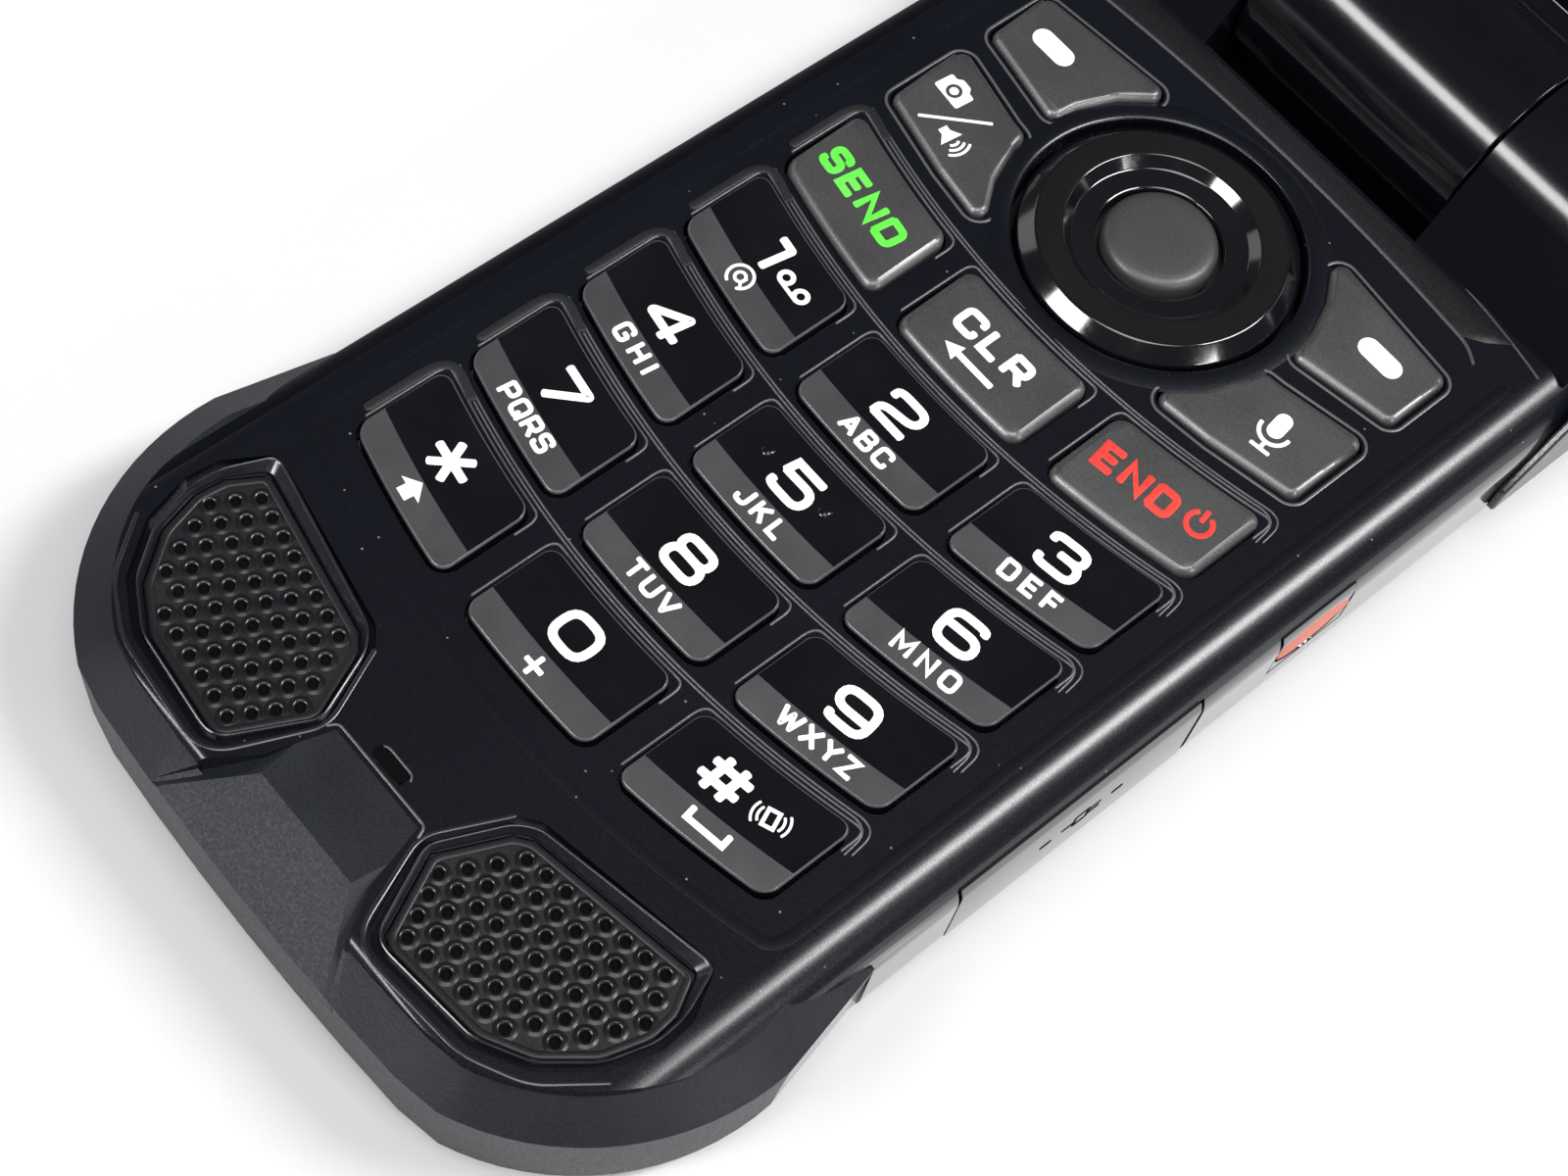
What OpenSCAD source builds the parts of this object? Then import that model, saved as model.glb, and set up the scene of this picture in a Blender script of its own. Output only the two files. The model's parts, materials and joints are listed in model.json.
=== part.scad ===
// Rugged clamshell phone, standing open on its back.
// Millimetres. The origin is the middle of the flat back of the base, +Z is up out of the keypad
// and +Y points from the keypad towards the hinge.

/* [Base] */
// Width of the base across its flat sides
base_w = 58.8; // [57.6:0.2:62]
// Thickness of the base from its back to the keypad deck
base_t = 12.8; // [12.8:0.1:15]
// Wall of the front and rear housings
wall = 1.5; // [1.2:0.1:1.8]
// Thickness of the deck round the keys
deck_t = 1.4; // [1.1:0.1:1.6]
// Round along the top edge of both sides
top_round = 3.9; // [2.5:0.1:4.5]
// Round along the bottom edge of both sides
low_round = 4; // [2.5:0.1:4.2]
// Height of the joint between the front and rear housings
joint_z = 4.5; // [4.3:0.1:4.8]
// Height of the battery-side floor inside the rear housing
floor_t = 2.3; // [2.2:0.1:2.6]

/* [Bumper] */
// Distance from the origin to the bottom end of the bumper
bumper_end = 59.9; // [59.6:0.1:63]
// Rubber thickness of the bumper
bumper_t = 2.7; // [2.4:0.1:3]
// How far the bumper flares out beyond each side of the base
bumper_flare = 1.9; // [1.2:0.1:2.6]
// Width of the rubber tongue at its upper edge
tongue_w = 8.8; // [7:0.2:10]

/* [Hinge] */
// Distance from the origin to the hinge axis
hinge_y = 52; // [51.6:0.1:53]
// Height of the hinge axis above the back
hinge_z = 14.7; // [14.5:0.1:16]
// Radius of the hinge barrel and knuckles
barrel_r = 8.6; // [8.2:0.1:9]
// Width of the lid's barrel between the knuckles
barrel_w = 22.6; // [20:0.2:26]
// Gap between the barrel and each knuckle
knuckle_gap = 0.3; // [0.2:0.05:0.5]
// Radius of the two hinge shafts
shaft_r = 2.5; // [2:0.1:3]
// Running clearance round a hinge shaft
shaft_fit = 0.05; // [0.03:0.01:0.08]
// Angle between the open lid and the base
open_angle = 160; // [150:1:165]

/* [Lid] */
// How far each side of the lid lies inside the side of the base
lid_inset = 0.4; // [0:0.1:1]
// Thickness of the closed lid
lid_t = 9.2; // [9:0.1:10]
// Space between the closed lid and the keypad deck
lid_gap = 1.4; // [1.35:0.05:1.8]
// Border of the lid below the display's lens, which holds the earpiece
lid_chin = 12.5; // [11.6:0.1:13.2]
// Thickness of the lid's inner half, with the main display
inner_t = 3.6; // [3.4:0.1:3.9]
// Wall of both lid shells
lid_wall = 1.4; // [1.2:0.1:1.6]
// Round round the outer edge of the lid
lid_round = 3; // [2:0.1:3.4]
// Width of the main display's window
screen_w = 44; // [40:0.5:46]
// Height of the main display's window
screen_h = 58; // [54:0.5:59]

/* [Keys] */
// Distance from the origin to the centre of the navigation key
nav_y = 24; // [23.8:0.1:24.4]
// How far the key tops stand above the deck
key_rise = 0.7; // [0.4:0.05:0.8]
// Distance from the centre of the navigation key to the lower edge of the bottom row
keypad_l = 61.1; // [60.6:0.1:61.6]
// Travel of a key
key_travel = 0.4; // [0.2:0.05:0.4]
// Gap round a key in the deck
key_gap = 0.25; // [0.2:0.05:0.35]
// Distance between rows of keys
row_pitch = 9.85; // [9.7:0.05:9.9]
// Height of a number key
key_h = 7.75; // [7.4:0.05:7.8]
// Width of a key in the middle column
mid_key_w = 13; // [12:0.1:13.4]
// Gap between the middle column and each side column
column_gap = 2.85; // [2.7:0.05:3.3]
// Distance from the outer edge of the side columns to the side of the base
key_margin = 7.4; // [7:0.1:8.4]
// Radius of the smile curve of each row
smile_r = 83; // [78:1:120]
// Outer radius of the navigation ring
ring_r = 11; // [10.6:0.1:11.2]
// Radius of the OK button
ok_r = 4.5; // [4:0.1:4.6]

/* [Side controls] */
// Length of the orange call button on the right side
sos_l = 7.6; // [6:0.2:8]
// Height of the side buttons
side_key_h = 4.6; // [4:0.1:4.8]
// Travel of the orange call button
sos_travel = 0.5; // [0.3:0.05:0.6]
// Length of the volume rocker on the left side
rocker_l = 17; // [14:0.5:19]
// Length of the port cover on the right side
port_l = 23.2; // [20:0.2:24]
// Thickness of the port cover
port_t = 1.5; // [1.2:0.1:1.6]

/* [Power] */
// Room on each side of the battery for the charging socket and the side switches
side_room = 8.7; // [8.5:0.1:10]
// Length of the battery
battery_l = 61.4; // [56:0.2:62]
// Thickness of the battery
battery_t = 4.8; // [4.4:0.1:4.9]
// Thickness of the battery cover
cover_t = 1; // [0.8:0.05:1.1]
// Thickness of the cover's seal
seal_t = 0.5; // [0.4:0.05:0.6]
// Travel of the cover's latch
latch_travel = 2; // [1.5:0.1:2.2]

/* [Hidden] */
$fn = 48;
eps = 0.01;
play = 0.2;              // gap round a piece that is dropped into its pocket
half_w = base_w / 2;
side_in = mid_key_w / 2 + column_gap;
side_out = half_w - key_margin;
battery_w = base_w - 2 * side_room;

// Heights inside the base, from the deck down
deck_z = base_t;
deck_under = deck_z - deck_t;
key_top = deck_z + key_rise;
flange_out = 0.7;        // how far a key's flange reaches under the deck
flange_top = deck_under - 0.15;
flange_t = 0.6;
key_base = flange_top - flange_t;
membrane_top = key_base - key_travel - 0.1;
membrane_t = 0.7;
nub_l = 0.45;
dome_top = membrane_top - membrane_t - nub_l - 0.05;
dome_h = 0.35;
dome_r = 2.2;
board_top = dome_top - dome_h;
board_t = 1;
board_z = board_top - board_t;
bay_roof_t = 1;
bay_roof = board_z - bay_roof_t;

// The keypad: each row is bounded by two arcs, drawn as a parabola of the same curvature
row_0_y = nav_y - keypad_l;  // lower edge of the bottom row, in the middle
corner_in = 0.9;
key_corner = 1.2;
ring_clear = 2.2;        // from the navigation ring to the keys that curve round it
ring_gap = 0.5;
row_low_y = row_0_y + 4 * row_pitch + key_h + 3.1;   // lower edge of the speaker and voice keys
row_low_top = row_low_y + 7.9;
soft_low = row_low_top + 2.6;
soft_top = soft_low + 10.9;
function smile(x, y0, r = smile_r) = y0 + x * x / (2 * r);
function row_y(row) = row_0_y + row * row_pitch;

// The outline of the bumper and of the base inside it
bumper_y0 = -30.5;       // where the bumper starts on each side
end_corner_r = 19.9;
end_crown_r = 234;
crown_x = 16;            // where the crown of the end gives way to the corner
end_inner = bumper_end - bumper_t;
end_round = 1;           // edge of the deck along the end
end_foot = 3;            // chamfer below it
tongue_top = -bumper_end + 11.2;    // upper edge of the tongue
tongue_break = -bumper_end + 5.5;   // where its face turns down
tongue_z = deck_z - 0.1;
tongue_drop = 2.6;       // how far the face falls from there to the end
tongue_side = 0.5;       // how far a side falls for each millimetre outward
bumper_rise = 0.9;       // from the inner edge of the bumper up to the deck
tongue_t = 1.6;
clearing = 4;            // height cleared above the tongue
base_end = hinge_y + barrel_r;

// The hinge
knuckle_x = barrel_w / 2 + knuckle_gap;
skirt_y = hinge_y - barrel_r - 2.9;   // foot of the knuckles' front slope
notch_r = barrel_r + 0.4;
rear_foot = hinge_y - 5;
bush_r = shaft_r + 2;
cartridge_l = 12;
shaft_in = 7;            // length of a shaft inside the barrel
flex_r = 1.1;

// The lid, drawn closed and then swung open
lid_z = deck_z + lid_gap;
lid_top = lid_z + lid_t;
split_z = lid_z + inner_t;
lid_w = base_w - 2 * lid_inset;
lid_half = lid_w / 2;
lid_hinge_y = hinge_y - barrel_r - 0.6;
lid_smile_r = 83;
lid_corner = 6;
lid_bumper_t = 1.3;
lid_bumper_y = -22;
lens_t = 1;
lens_edge = 3;           // how far each lens reaches past its window
ledge_t = 0.8;
screen_y = lid_hinge_y - 10.6 - screen_h / 2;   // middle of the main display
lid_end = screen_h / 2 - screen_y + lens_edge + lid_chin;
display_t = 2;
display_z = lid_z + lens_t + ledge_t;
lid_board_z = display_z + display_t + 0.2;
lid_board_t = 0.8;
lid_board_w = lid_w - 12;
outer_lens_w = 36;
outer_lens_h = 34;
outer_y = -2;
camera_y = lid_hinge_y - 11.8;
camera_r = 5.4;
flash_x = 11.5;
flash_r = 2;
camera_body = 8.4;       // side of the square camera module
ear_y = 6 - lid_end;
ear_w = 10;
pad_x = lid_half - 4.6;
pad_y = 7.9 - lid_end;
pad_r = 1.2;
lid_board_y = 13.3 - lid_end;

// The side controls
side_key_z = 8.2;
sos_y = 12.6;
rocker_y = 8;
rocker_z = 7.1;          // low on the wall, below the round of the deck
rocker_h = 3;
side_flange = 0.6;
side_lip = 0.5;          // how far the flange reaches past the button
side_flange_gap = 0.5;
side_proud = 0.6;
port_y0 = -22.6;         // the end that the port cover hangs from
port_z0 = 3.2;
port_h = 7.4;
port_proud = 0.15;
port_wall = 1.4;
usb_w = 9;
usb_h = 2.9;
usb_y = port_y0 + port_l / 2;
usb_top = board_z;
usb_in = 7;              // from the side wall to the back of the connector
plug_in = 0.9;

// The microphone
mic_slot_w = 2.6;
mic_w = 3.8;

// The battery bay, its cover and the latch
bay_w = battery_w + 0.6;
bay_l = battery_l + 0.6;
bay_y = -3;
bay_wall = 1.2;
pocket_t = cover_t + seal_t;
cover_w = bay_w + 6;
cover_l = bay_l + 8;
cover_corner = 5;
battery_z = cover_t + 0.2;
latch_w = 9;
latch_l = 4;
latch_y = bay_y - cover_l / 2 + 2.2;
bolt_w = 4;
bolt_l = 3.4;
bolt_z = 0.4;
screw_r = 1;
head_r = 2;
boss_r = 2.4;
boss_x = half_w - wall - 2.7;
boss_ys = [row_0_y - 0.6, skirt_y - 4];

// The loudspeakers
grille_x = half_w - 4.8;         // outer edge of a grille
grille_y = -bumper_end + 4.9;    // its lower edge
grille_top = deck_z - 0.9;
grille_t = 0.8;
frame_z = grille_top - grille_t - 1;
hole_r = 0.42;
motor_r = 1.3;
motor_l = 10;
motor_x = -12;
motor_y = skirt_y - wall - motor_r - 0.2;   // between the navigation ring and the hinge
speaker_gap = 0.1;
speaker_t = 3.2;
speaker_x = tongue_w / 2 + 4.4;  // inner edge of a loudspeaker
speaker_y = grille_y + 1.6;
speaker_w = grille_x - 4.4 - speaker_x;
speaker_l = 9.2;

// The main board, above the loudspeakers and as wide as the bay below it
board_w = bay_w + 2 * bay_wall - 0.8;
board_y = speaker_y + speaker_l + 0.6;
board_l = skirt_y - wall - 0.3 - board_y;
board_leg_w = 14;        // the leg that carries the microphone
board_tab_x = half_w - wall - 1.9;  // reach of the board's tabs to the side switches

// ---------- shared outlines ----------

// Points along an arc
function arc(cx, cy, r, a0, a1, n = 8) =
    [for (i = [0:n]) [cx + r * cos(a0 + (a1 - a0) * i / n), cy + r * sin(a0 + (a1 - a0) * i / n)]];

// Right half of the bottom end, from the middle out and up to where the bumper is widest
end_half = concat(
    [for (i = [0:3]) let (x = crown_x * i / 3) [x, -bumper_end + x * x / (2 * end_crown_r)]],
    arc(half_w + bumper_flare - end_corner_r, -bumper_end + end_corner_r - 0.5, end_corner_r, -66, 3, 16)
);
function mirrored(points) = [for (i = [len(points) - 1:-1:1]) [-points[i][0], points[i][1]]];
function both_halves(points) = concat(mirrored(points), points);

// Plan of the bumper, moved in by d
module bumper_plan(d = 0) {
    offset(delta = -d) polygon(concat(
        both_halves(end_half), [[half_w + eps, bumper_y0], [-half_w - eps, bumper_y0]]));
}

// Plan of the housings, moved in by d
module base_plan(d = 0) {
    offset(delta = -d) union() {
        translate([-half_w, bumper_y0]) square([base_w, base_end - bumper_y0]);
        intersection() {
            bumper_core_plan();
            translate([-half_w, -bumper_end]) square([base_w, bumper_end + bumper_y0 + eps]);
        }
    }
}
module bumper_core_plan() {
    offset(delta = -bumper_t) polygon(concat(
        both_halves(end_half),
        [[half_w + bumper_t, bumper_y0 + bumper_t + eps],
         [-half_w - bumper_t, bumper_y0 + bumper_t + eps]]));
}

// Section across the base, moved in by d
module base_section(d = 0) {
    w = half_w - d;
    top = deck_z - d;
    rt = top_round - d;
    rl = low_round - d;
    polygon(concat(
        arc(w - rl, d + rl, rl, -90, 0), arc(w - rt, top - rt, rt, 0, 90, 14),
        arc(-w + rt, top - rt, rt, 90, 180, 14), arc(-w + rl, d + rl, rl, 180, 270)));
}

// Section along the base, moved in by d
module base_side(d = 0) {
    r = max(end_round - d, 0.1);
    polygon(concat(
        [[-end_inner + end_foot, d], [rear_foot, d],
         [hinge_y + barrel_r * cos(-52.4), hinge_z + barrel_r * sin(-52.4)],
         [hinge_y, deck_z - d]],
        arc(-end_inner + d + r, deck_z - d - r, r, 90, 180, 6),
        [[-end_inner + d, end_foot]]));
}

// The solid that the two housings are cut from
module base_form(d = 0) {
    intersection() {
        linear_extrude(deck_z) base_plan(d);
        rotate([90, 0, 0]) translate([0, 0, -base_end]) linear_extrude(base_end + bumper_end)
            base_section(d);
        rotate([90, 0, 90]) translate([0, 0, -half_w]) linear_extrude(base_w) base_side(d);
    }
}

// The hollow inside the housings, which stops short of the hinge
module base_hollow() {
    intersection() {
        base_form(wall);
        translate([-half_w, -bumper_end, floor_t])
            cube([base_w, bumper_end + skirt_y - wall, deck_under - floor_t]);
    }
}

// A plate with rounded corners, centred in X and Y
module rounded_plate(w, l, t, r) {
    linear_extrude(t) hull() for (x = [-1, 1], y = [-1, 1])
        translate([x * (w / 2 - r), y * (l / 2 - r)]) circle(r, $fn = 32);
}

// A rod along X between x0 and x1 on the hinge axis
module hinge_rod(x0, x1, r) {
    translate([x0, hinge_y, hinge_z]) rotate([0, 90, 0]) cylinder(r = r, h = x1 - x0);
}

// ---------- keypad outlines ----------

// A strip between two smile arcs
module smile_strip(x0, x1, low, high) {
    n = 6;
    polygon(concat(
        [for (i = [0:n]) let (x = x0 + (x1 - x0) * i / n) [x, smile(x, low)]],
        [for (i = [n:-1:0]) let (x = x0 + (x1 - x0) * i / n) [x, smile(x, high)]]));
}
module soften(r) { offset(r = r, $fn = 24) offset(delta = -r) children(); }

function column_x(column) = column == 0 ? [-mid_key_w / 2, mid_key_w / 2]
    : column > 0 ? [side_in, side_out] : [-side_out, -side_in];

// A key of the number block, or of the call row above it
module row_key_plan(column, row) {
    x = column_x(column);
    soften(key_corner) smile_strip(x[0], x[1], row_y(row), row_y(row) + key_h);
}

// A key that curves round the navigation ring
module ring_key_plan(side, upper) {
    low = upper ? soft_low : row_low_y;
    high = upper ? soft_top : row_low_top;
    soften(corner_in) difference() {
        intersection() {
            translate([side > 0 ? 0 : -side_out, row_low_y - 5]) square([side_out, 40]);
            if (upper) {
                polygon([[-side_out, smile(side_out, low)], [-side_in, smile(side_in, low)],
                         [0, smile(side_in, low)], [side_in, smile(side_in, low)],
                         [side_out, smile(side_out, low)], [side_out, high - 1.6],
                         [side_in, high - 0.3], [-side_in, high - 0.3], [-side_out, high - 1.6]]);
            } else {
                smile_strip(-side_out, side_out, low, high);
            }
        }
        translate([0, nav_y]) circle(ring_r + ring_clear);
    }
}

// Every key's plan, grown by d: the openings in the deck
module all_key_plans(d) {
    for (row = [0:4], column = [-1:1]) offset(delta = d) row_key_plan(column, row);
    for (side = [-1, 1], upper = [false, true]) offset(delta = d) ring_key_plan(side, upper);
}

// A key cap with the flange that keeps it under the deck
module key_body() {
    translate([0, 0, flange_top - eps]) linear_extrude(key_top - flange_top + eps) children();
    translate([0, 0, key_base]) linear_extrude(flange_t) offset(delta = flange_out) children();
}
module number_key(column, row) { color([0.05, 0.05, 0.06]) key_body() row_key_plan(column, row); }
module call_key(column) { color([0.27, 0.27, 0.28]) key_body() row_key_plan(column, 4); }
module ring_key(side, upper) { color([0.27, 0.27, 0.28]) key_body() ring_key_plan(side, upper); }

// Middle of each key, where its dome is
key_centres = concat(
    [for (row = [0:4], column = [-1:1])
        let (x = (column_x(column)[0] + column_x(column)[1]) / 2) [x, smile(x, row_y(row)) + key_h / 2]],
    [for (side = [-1, 1], y = [row_low_y + 5.2, soft_low + 7.4]) [side * (side_out - 4.5), y]]);
nav_domes = [for (a = [0:90:270]) [7.6 * cos(a), nav_y + 7.6 * sin(a)]];

// ---------- loudspeaker outlines ----------

// Outline of the right grille, moved in by d: a corner by the tongue, one by each side, and the
// curve of the base's end between them
module grille_plan(d = 0) {
    offset(delta = -d) polygon([
        [grille_x - 1.7, grille_y + 14.3], [tongue_w / 2 + 5.1, grille_y + 11.9],
        [tongue_w / 2 + 3.9, grille_y + 11], [tongue_w / 2 + 1.7, grille_y + 6],
        [tongue_w / 2 + 4.4, grille_y + 0.4], [tongue_w / 2 + 5.2, grille_y],
        [grille_x - 7, grille_y + 0.8], [grille_x - 3.6, grille_y + 2.7],
        [grille_x - 1, grille_y + 6], [grille_x, grille_y + 9.4], [grille_x - 0.2, grille_y + 11.6]]);
}
// The dished recess round the right grille
module recess_plan() { offset(r = 1.1, $fn = 24) grille_plan(); }
module both_sides() {
    children();
    mirror([1, 0, 0]) children();
}

// Centres of the sound holes on the right: rows that fan out a little from the outer corner
hole_step = [-1.66, -0.3];
hole_row = [0.86, -1.53];
hole_fan = [-0.01, 0.013];
hole_first = [grille_x - 2.85, grille_y + 12.8];
hole_spans = [[0, 7], [0, 8], [0, 9], [1, 10], [2, 10], [3, 10], [5, 10]];
sound_holes = [for (row = [0:len(hole_spans) - 1], i = [hole_spans[row][0]:hole_spans[row][1]])
    hole_first + row * hole_row + i * (hole_step + row * hole_fan)];

// ---------- the rubber tongue between the loudspeakers ----------

// Everything under the faces that fall away on both sides of the tongue
module tongue_crest() {
    lower = tongue_w / 2 - 0.5;
    upper = tongue_w / 2 + 1.3;
    hull() for (fall = [0, 5]) translate([0, 0, tongue_z - fall]) linear_extrude(eps) {
        out = fall / tongue_side;
        polygon([
            [-lower - out, -bumper_end - 1], [lower + out, -bumper_end - 1],
            [upper + out, tongue_top + 1], [-upper - out, tongue_top + 1]]);
    }
}

// The tongue's own form, or what is cleared for it where its foot and top are raised
module tongue_form(low = 0, high = 0) {
    intersection() {
        rotate([90, 0, 90]) translate([0, 0, -12]) linear_extrude(24) polygon([
            [tongue_top, tongue_z + high], [tongue_break, tongue_z + high],
            [-bumper_end, tongue_z - tongue_drop + high],
            [-bumper_end, tongue_z - tongue_drop - tongue_t + low],
            [tongue_break, deck_z - 1.9 + low], [tongue_top, deck_z - 1.5 + low]]);
        linear_extrude(20) intersection() {
            bumper_plan();
            polygon([
                [-tongue_w / 2, tongue_top], [tongue_w / 2, tongue_top],
                [tongue_w / 2 + 1.4, tongue_break + 0.8], [tongue_w / 2 + 3.8, tongue_break - 2.8],
                [tongue_w / 2 + 5.6, -bumper_end], [-tongue_w / 2 - 5.6, -bumper_end],
                [-tongue_w / 2 - 3.8, tongue_break - 2.8], [-tongue_w / 2 - 1.4, tongue_break + 0.8]]);
        }
    }
}

// ---------- the base ----------

// One hinge knuckle of the base, on the right, with its rounded outer end
module knuckle() {
    edge = 2.4;
    translate([0, hinge_y, hinge_z]) rotate([0, 90, 0]) rotate_extrude() polygon(concat(
        [[0, knuckle_x], [barrel_r, knuckle_x]],
        arc(barrel_r - edge, half_w - edge, edge, 0, 90),
        [[0, half_w]]));
    rise = atan2(hinge_z - deck_z, hinge_y - skirt_y);
    reach = norm([hinge_y - skirt_y, hinge_z - deck_z]);
    slope = rise + asin(barrel_r / reach);
    run = sqrt(reach * reach - barrel_r * barrel_r);
    translate([knuckle_x, 0, 0]) rotate([90, 0, 90]) linear_extrude(half_w - top_round / 2 - knuckle_x)
        polygon([[skirt_y, deck_z], [skirt_y + run * cos(slope), deck_z + run * sin(slope)],
                 [hinge_y, hinge_z], [hinge_y, deck_under - 3], [skirt_y, deck_under - 3]]);
}

// What the barrel, the lid's neck and the slot in front of the barrel take away
module hinge_notch() {
    hinge_rod(-knuckle_x, knuckle_x, notch_r);
    translate([-knuckle_x, hinge_y, hinge_z - notch_r]) cube([2 * knuckle_x, 20, 40]);
    translate([-knuckle_x, skirt_y, hinge_z - 7.5]) cube([2 * knuckle_x, hinge_y - skirt_y, 40]);
}

// The pocket for the port cover on the right side, and for a button on either side
module port_pocket() {
    translate([half_w - port_t + port_proud, port_y0 - play, port_z0 - play])
        cube([10, port_l + 2 * play, port_h + 2 * play]);
}
module side_hole(y, z, l, h) {
    translate([half_w - wall - 5, y - l / 2 - play, z - h / 2 - play])
        cube([wall + 10, l + 2 * play, h + 2 * play]);
    translate([half_w - wall - 5, y - l / 2 - side_lip - play, z - h / 2 - side_lip - play])
        cube([5, l + 2 * (side_lip + play), h + 2 * (side_lip + play)]);
}

// What backs the port cover inside both housings
module port_backing() {
    translate([half_w - port_t - port_wall, port_y0 - 1.2, port_z0 - 0.9])
        cube([port_wall + 0.4, port_l + 2.4, port_h + 1.8]);
}

module front_housing() {
    color([0.09, 0.1, 0.13]) difference() {
        union() {
            difference() {
                base_form();
                base_hollow();
            }
            both_sides() knuckle();
            intersection() {
                port_backing();
                base_form();
            }
            both_sides() translate([0, 0, frame_z]) linear_extrude(deck_under - frame_z + eps)
                offset(delta = 1.2) grille_plan();
            for (x = [-boss_x, boss_x], y = boss_ys)
                translate([x, y, joint_z]) cylinder(r = boss_r, h = deck_under - joint_z + eps);
        }
        translate([-100, -100, -100]) cube([200, 200, 100 + joint_z]);
        translate([0, 0, deck_under - 1]) linear_extrude(10) all_key_plans(key_gap);
        translate([0, nav_y, deck_under - 1]) cylinder(r = ring_r + ring_gap, h = 10);
        both_sides() {
            translate([0, 0, grille_top - grille_t]) linear_extrude(10) grille_plan(-0.1);
            translate([0, 0, grille_top]) linear_extrude(10) recess_plan();
            translate([0, 0, frame_z - 5]) linear_extrude(10) grille_plan(1);
        }
        tongue_form(0, clearing);
        translate([-mic_slot_w / 2, tongue_top + 0.8, 5]) cube([mic_slot_w, 0.9, 10]);
        hinge_notch();
        hinge_rod(knuckle_x - 1, knuckle_x + cartridge_l, bush_r);
        hinge_rod(-knuckle_x - cartridge_l, -knuckle_x + 1, bush_r);
        port_pocket();
        translate([half_w - 8, usb_y - usb_w / 2 - play, usb_top - usb_h - play])
            cube([7, usb_w + 2 * play, usb_h + play]);
        side_hole(sos_y, side_key_z, sos_l, side_key_h);
        mirror([1, 0, 0]) side_hole(rocker_y, rocker_z, rocker_l, rocker_h);
        for (x = [-boss_x, boss_x], y = boss_ys)
            translate([x, y, joint_z - 1]) cylinder(r = screw_r, h = 6.5);
    }
}

module rear_housing() {
    color([0.07, 0.07, 0.08]) difference() {
        union() {
            intersection() {
                difference() {
                    base_form();
                    base_hollow();
                }
                translate([-100, -100, 0]) cube([200, 200, joint_z]);
            }
            intersection() {
                port_backing();
                base_form();
                translate([-100, -100, 0]) cube([200, 200, joint_z]);
            }
            translate([0, bay_y, pocket_t]) rounded_plate(bay_w + 2 * bay_wall, bay_l + 2 * bay_wall,
                board_z - pocket_t, 2);
            for (x = [-boss_x, boss_x], y = boss_ys)
                translate([x, y, pocket_t]) cylinder(r = boss_r, h = joint_z - pocket_t);
        }
        translate([0, bay_y, -eps]) rounded_plate(bay_w, bay_l, bay_roof, 1);
        translate([0, bay_y, -1]) rounded_plate(cover_w + 2 * play, cover_l + 2 * play, 1 + pocket_t,
            cover_corner);
        translate([-bolt_w / 2 - play, bay_y - cover_l / 2 - bolt_l, bolt_z - 0.1])
            cube([bolt_w + 2 * play, bolt_l, pocket_t]);
        hinge_notch();
        port_pocket();
        for (x = [-boss_x, boss_x], y = boss_ys) translate([x, y, 0]) {
            translate([0, 0, -1]) cylinder(r = screw_r + 0.1, h = 10);
            translate([0, 0, -1]) cylinder(r = head_r + 0.2, h = 3);
        }
    }
}

// The moulded rubber bumper round the bottom end, with its tongue
module bottom_bumper() {
    color([0.2, 0.21, 0.23]) union() {
        difference() {
            hull() {
                translate([0, 0, deck_z - 2.9 - eps]) linear_extrude(eps) bumper_plan();
                translate([0, 0, 2.4]) linear_extrude(eps) bumper_plan(0.4);
                translate([0, 0, 0.6]) linear_extrude(eps) bumper_plan(1.9);
                translate([0, 0, deck_z - bumper_rise]) linear_extrude(eps) bumper_plan(bumper_t + 0.1);
            }
            base_form();
            tongue_form(tongue_t - play, clearing);
        }
        intersection() {
            tongue_form();
            tongue_crest();
        }
    }
}

module speaker_grilles() {
    color([0.12, 0.12, 0.13]) both_sides() translate([0, 0, grille_top - grille_t]) difference() {
        linear_extrude(grille_t) grille_plan();
        for (p = sound_holes) translate([p[0], p[1], -1]) cylinder(r = hole_r, h = 3, $fn = 16);
    }
}

module loudspeakers() {
    color([0.3, 0.3, 0.32]) both_sides()
        translate([speaker_x, speaker_y, frame_z - speaker_gap - speaker_t])
            cube([speaker_w, speaker_l, speaker_t]);
}

module microphone() {
    color([0.75, 0.72, 0.6]) translate([-mic_w / 2, tongue_top + 0.1, board_top])
        cube([mic_w, 2.8, 1.1]);
}

module vibration_motor() {
    color([0.7, 0.7, 0.72]) translate([motor_x, motor_y, board_top + motor_r]) rotate([0, 90, 0])
        cylinder(r = motor_r, h = motor_l);
}

module keypad_membrane() {
    color([0.55, 0.55, 0.56]) difference() {
        union() {
            translate([-side_out - 0.5, row_0_y, membrane_top - membrane_t])
                cube([2 * side_out + 1, nav_y + 9.5 - row_0_y, membrane_t]);
            for (p = key_centres)
                translate([p[0], p[1], dome_top + 0.05]) cylinder(r = 0.9, h = nub_l + eps);
        }
        translate([0, nav_y, 0]) cylinder(r = ring_r + 1.9, h = 40);
    }
}

module dome_switches() {
    color([0.8, 0.8, 0.82]) for (p = concat(key_centres, nav_domes, [[0, nav_y]]))
        translate([p[0], p[1], board_top]) cylinder(r1 = dome_r, r2 = dome_r - 0.9, h = dome_h);
}

module main_board() {
    color([0.1, 0.3, 0.2]) translate([0, 0, board_z]) linear_extrude(board_t) union() {
        translate([-board_w / 2, board_y]) square([board_w, board_l]);
        translate([-board_leg_w / 2, tongue_top]) square([board_leg_w, board_y + 0.6 - tongue_top]);
        translate([0, usb_y - 6]) square([board_tab_x, 12]);
        translate([0, sos_y - 3]) square([board_tab_x, 6]);
        translate([-board_tab_x, rocker_y - 5]) square([board_tab_x, 10]);
    }
}

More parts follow.
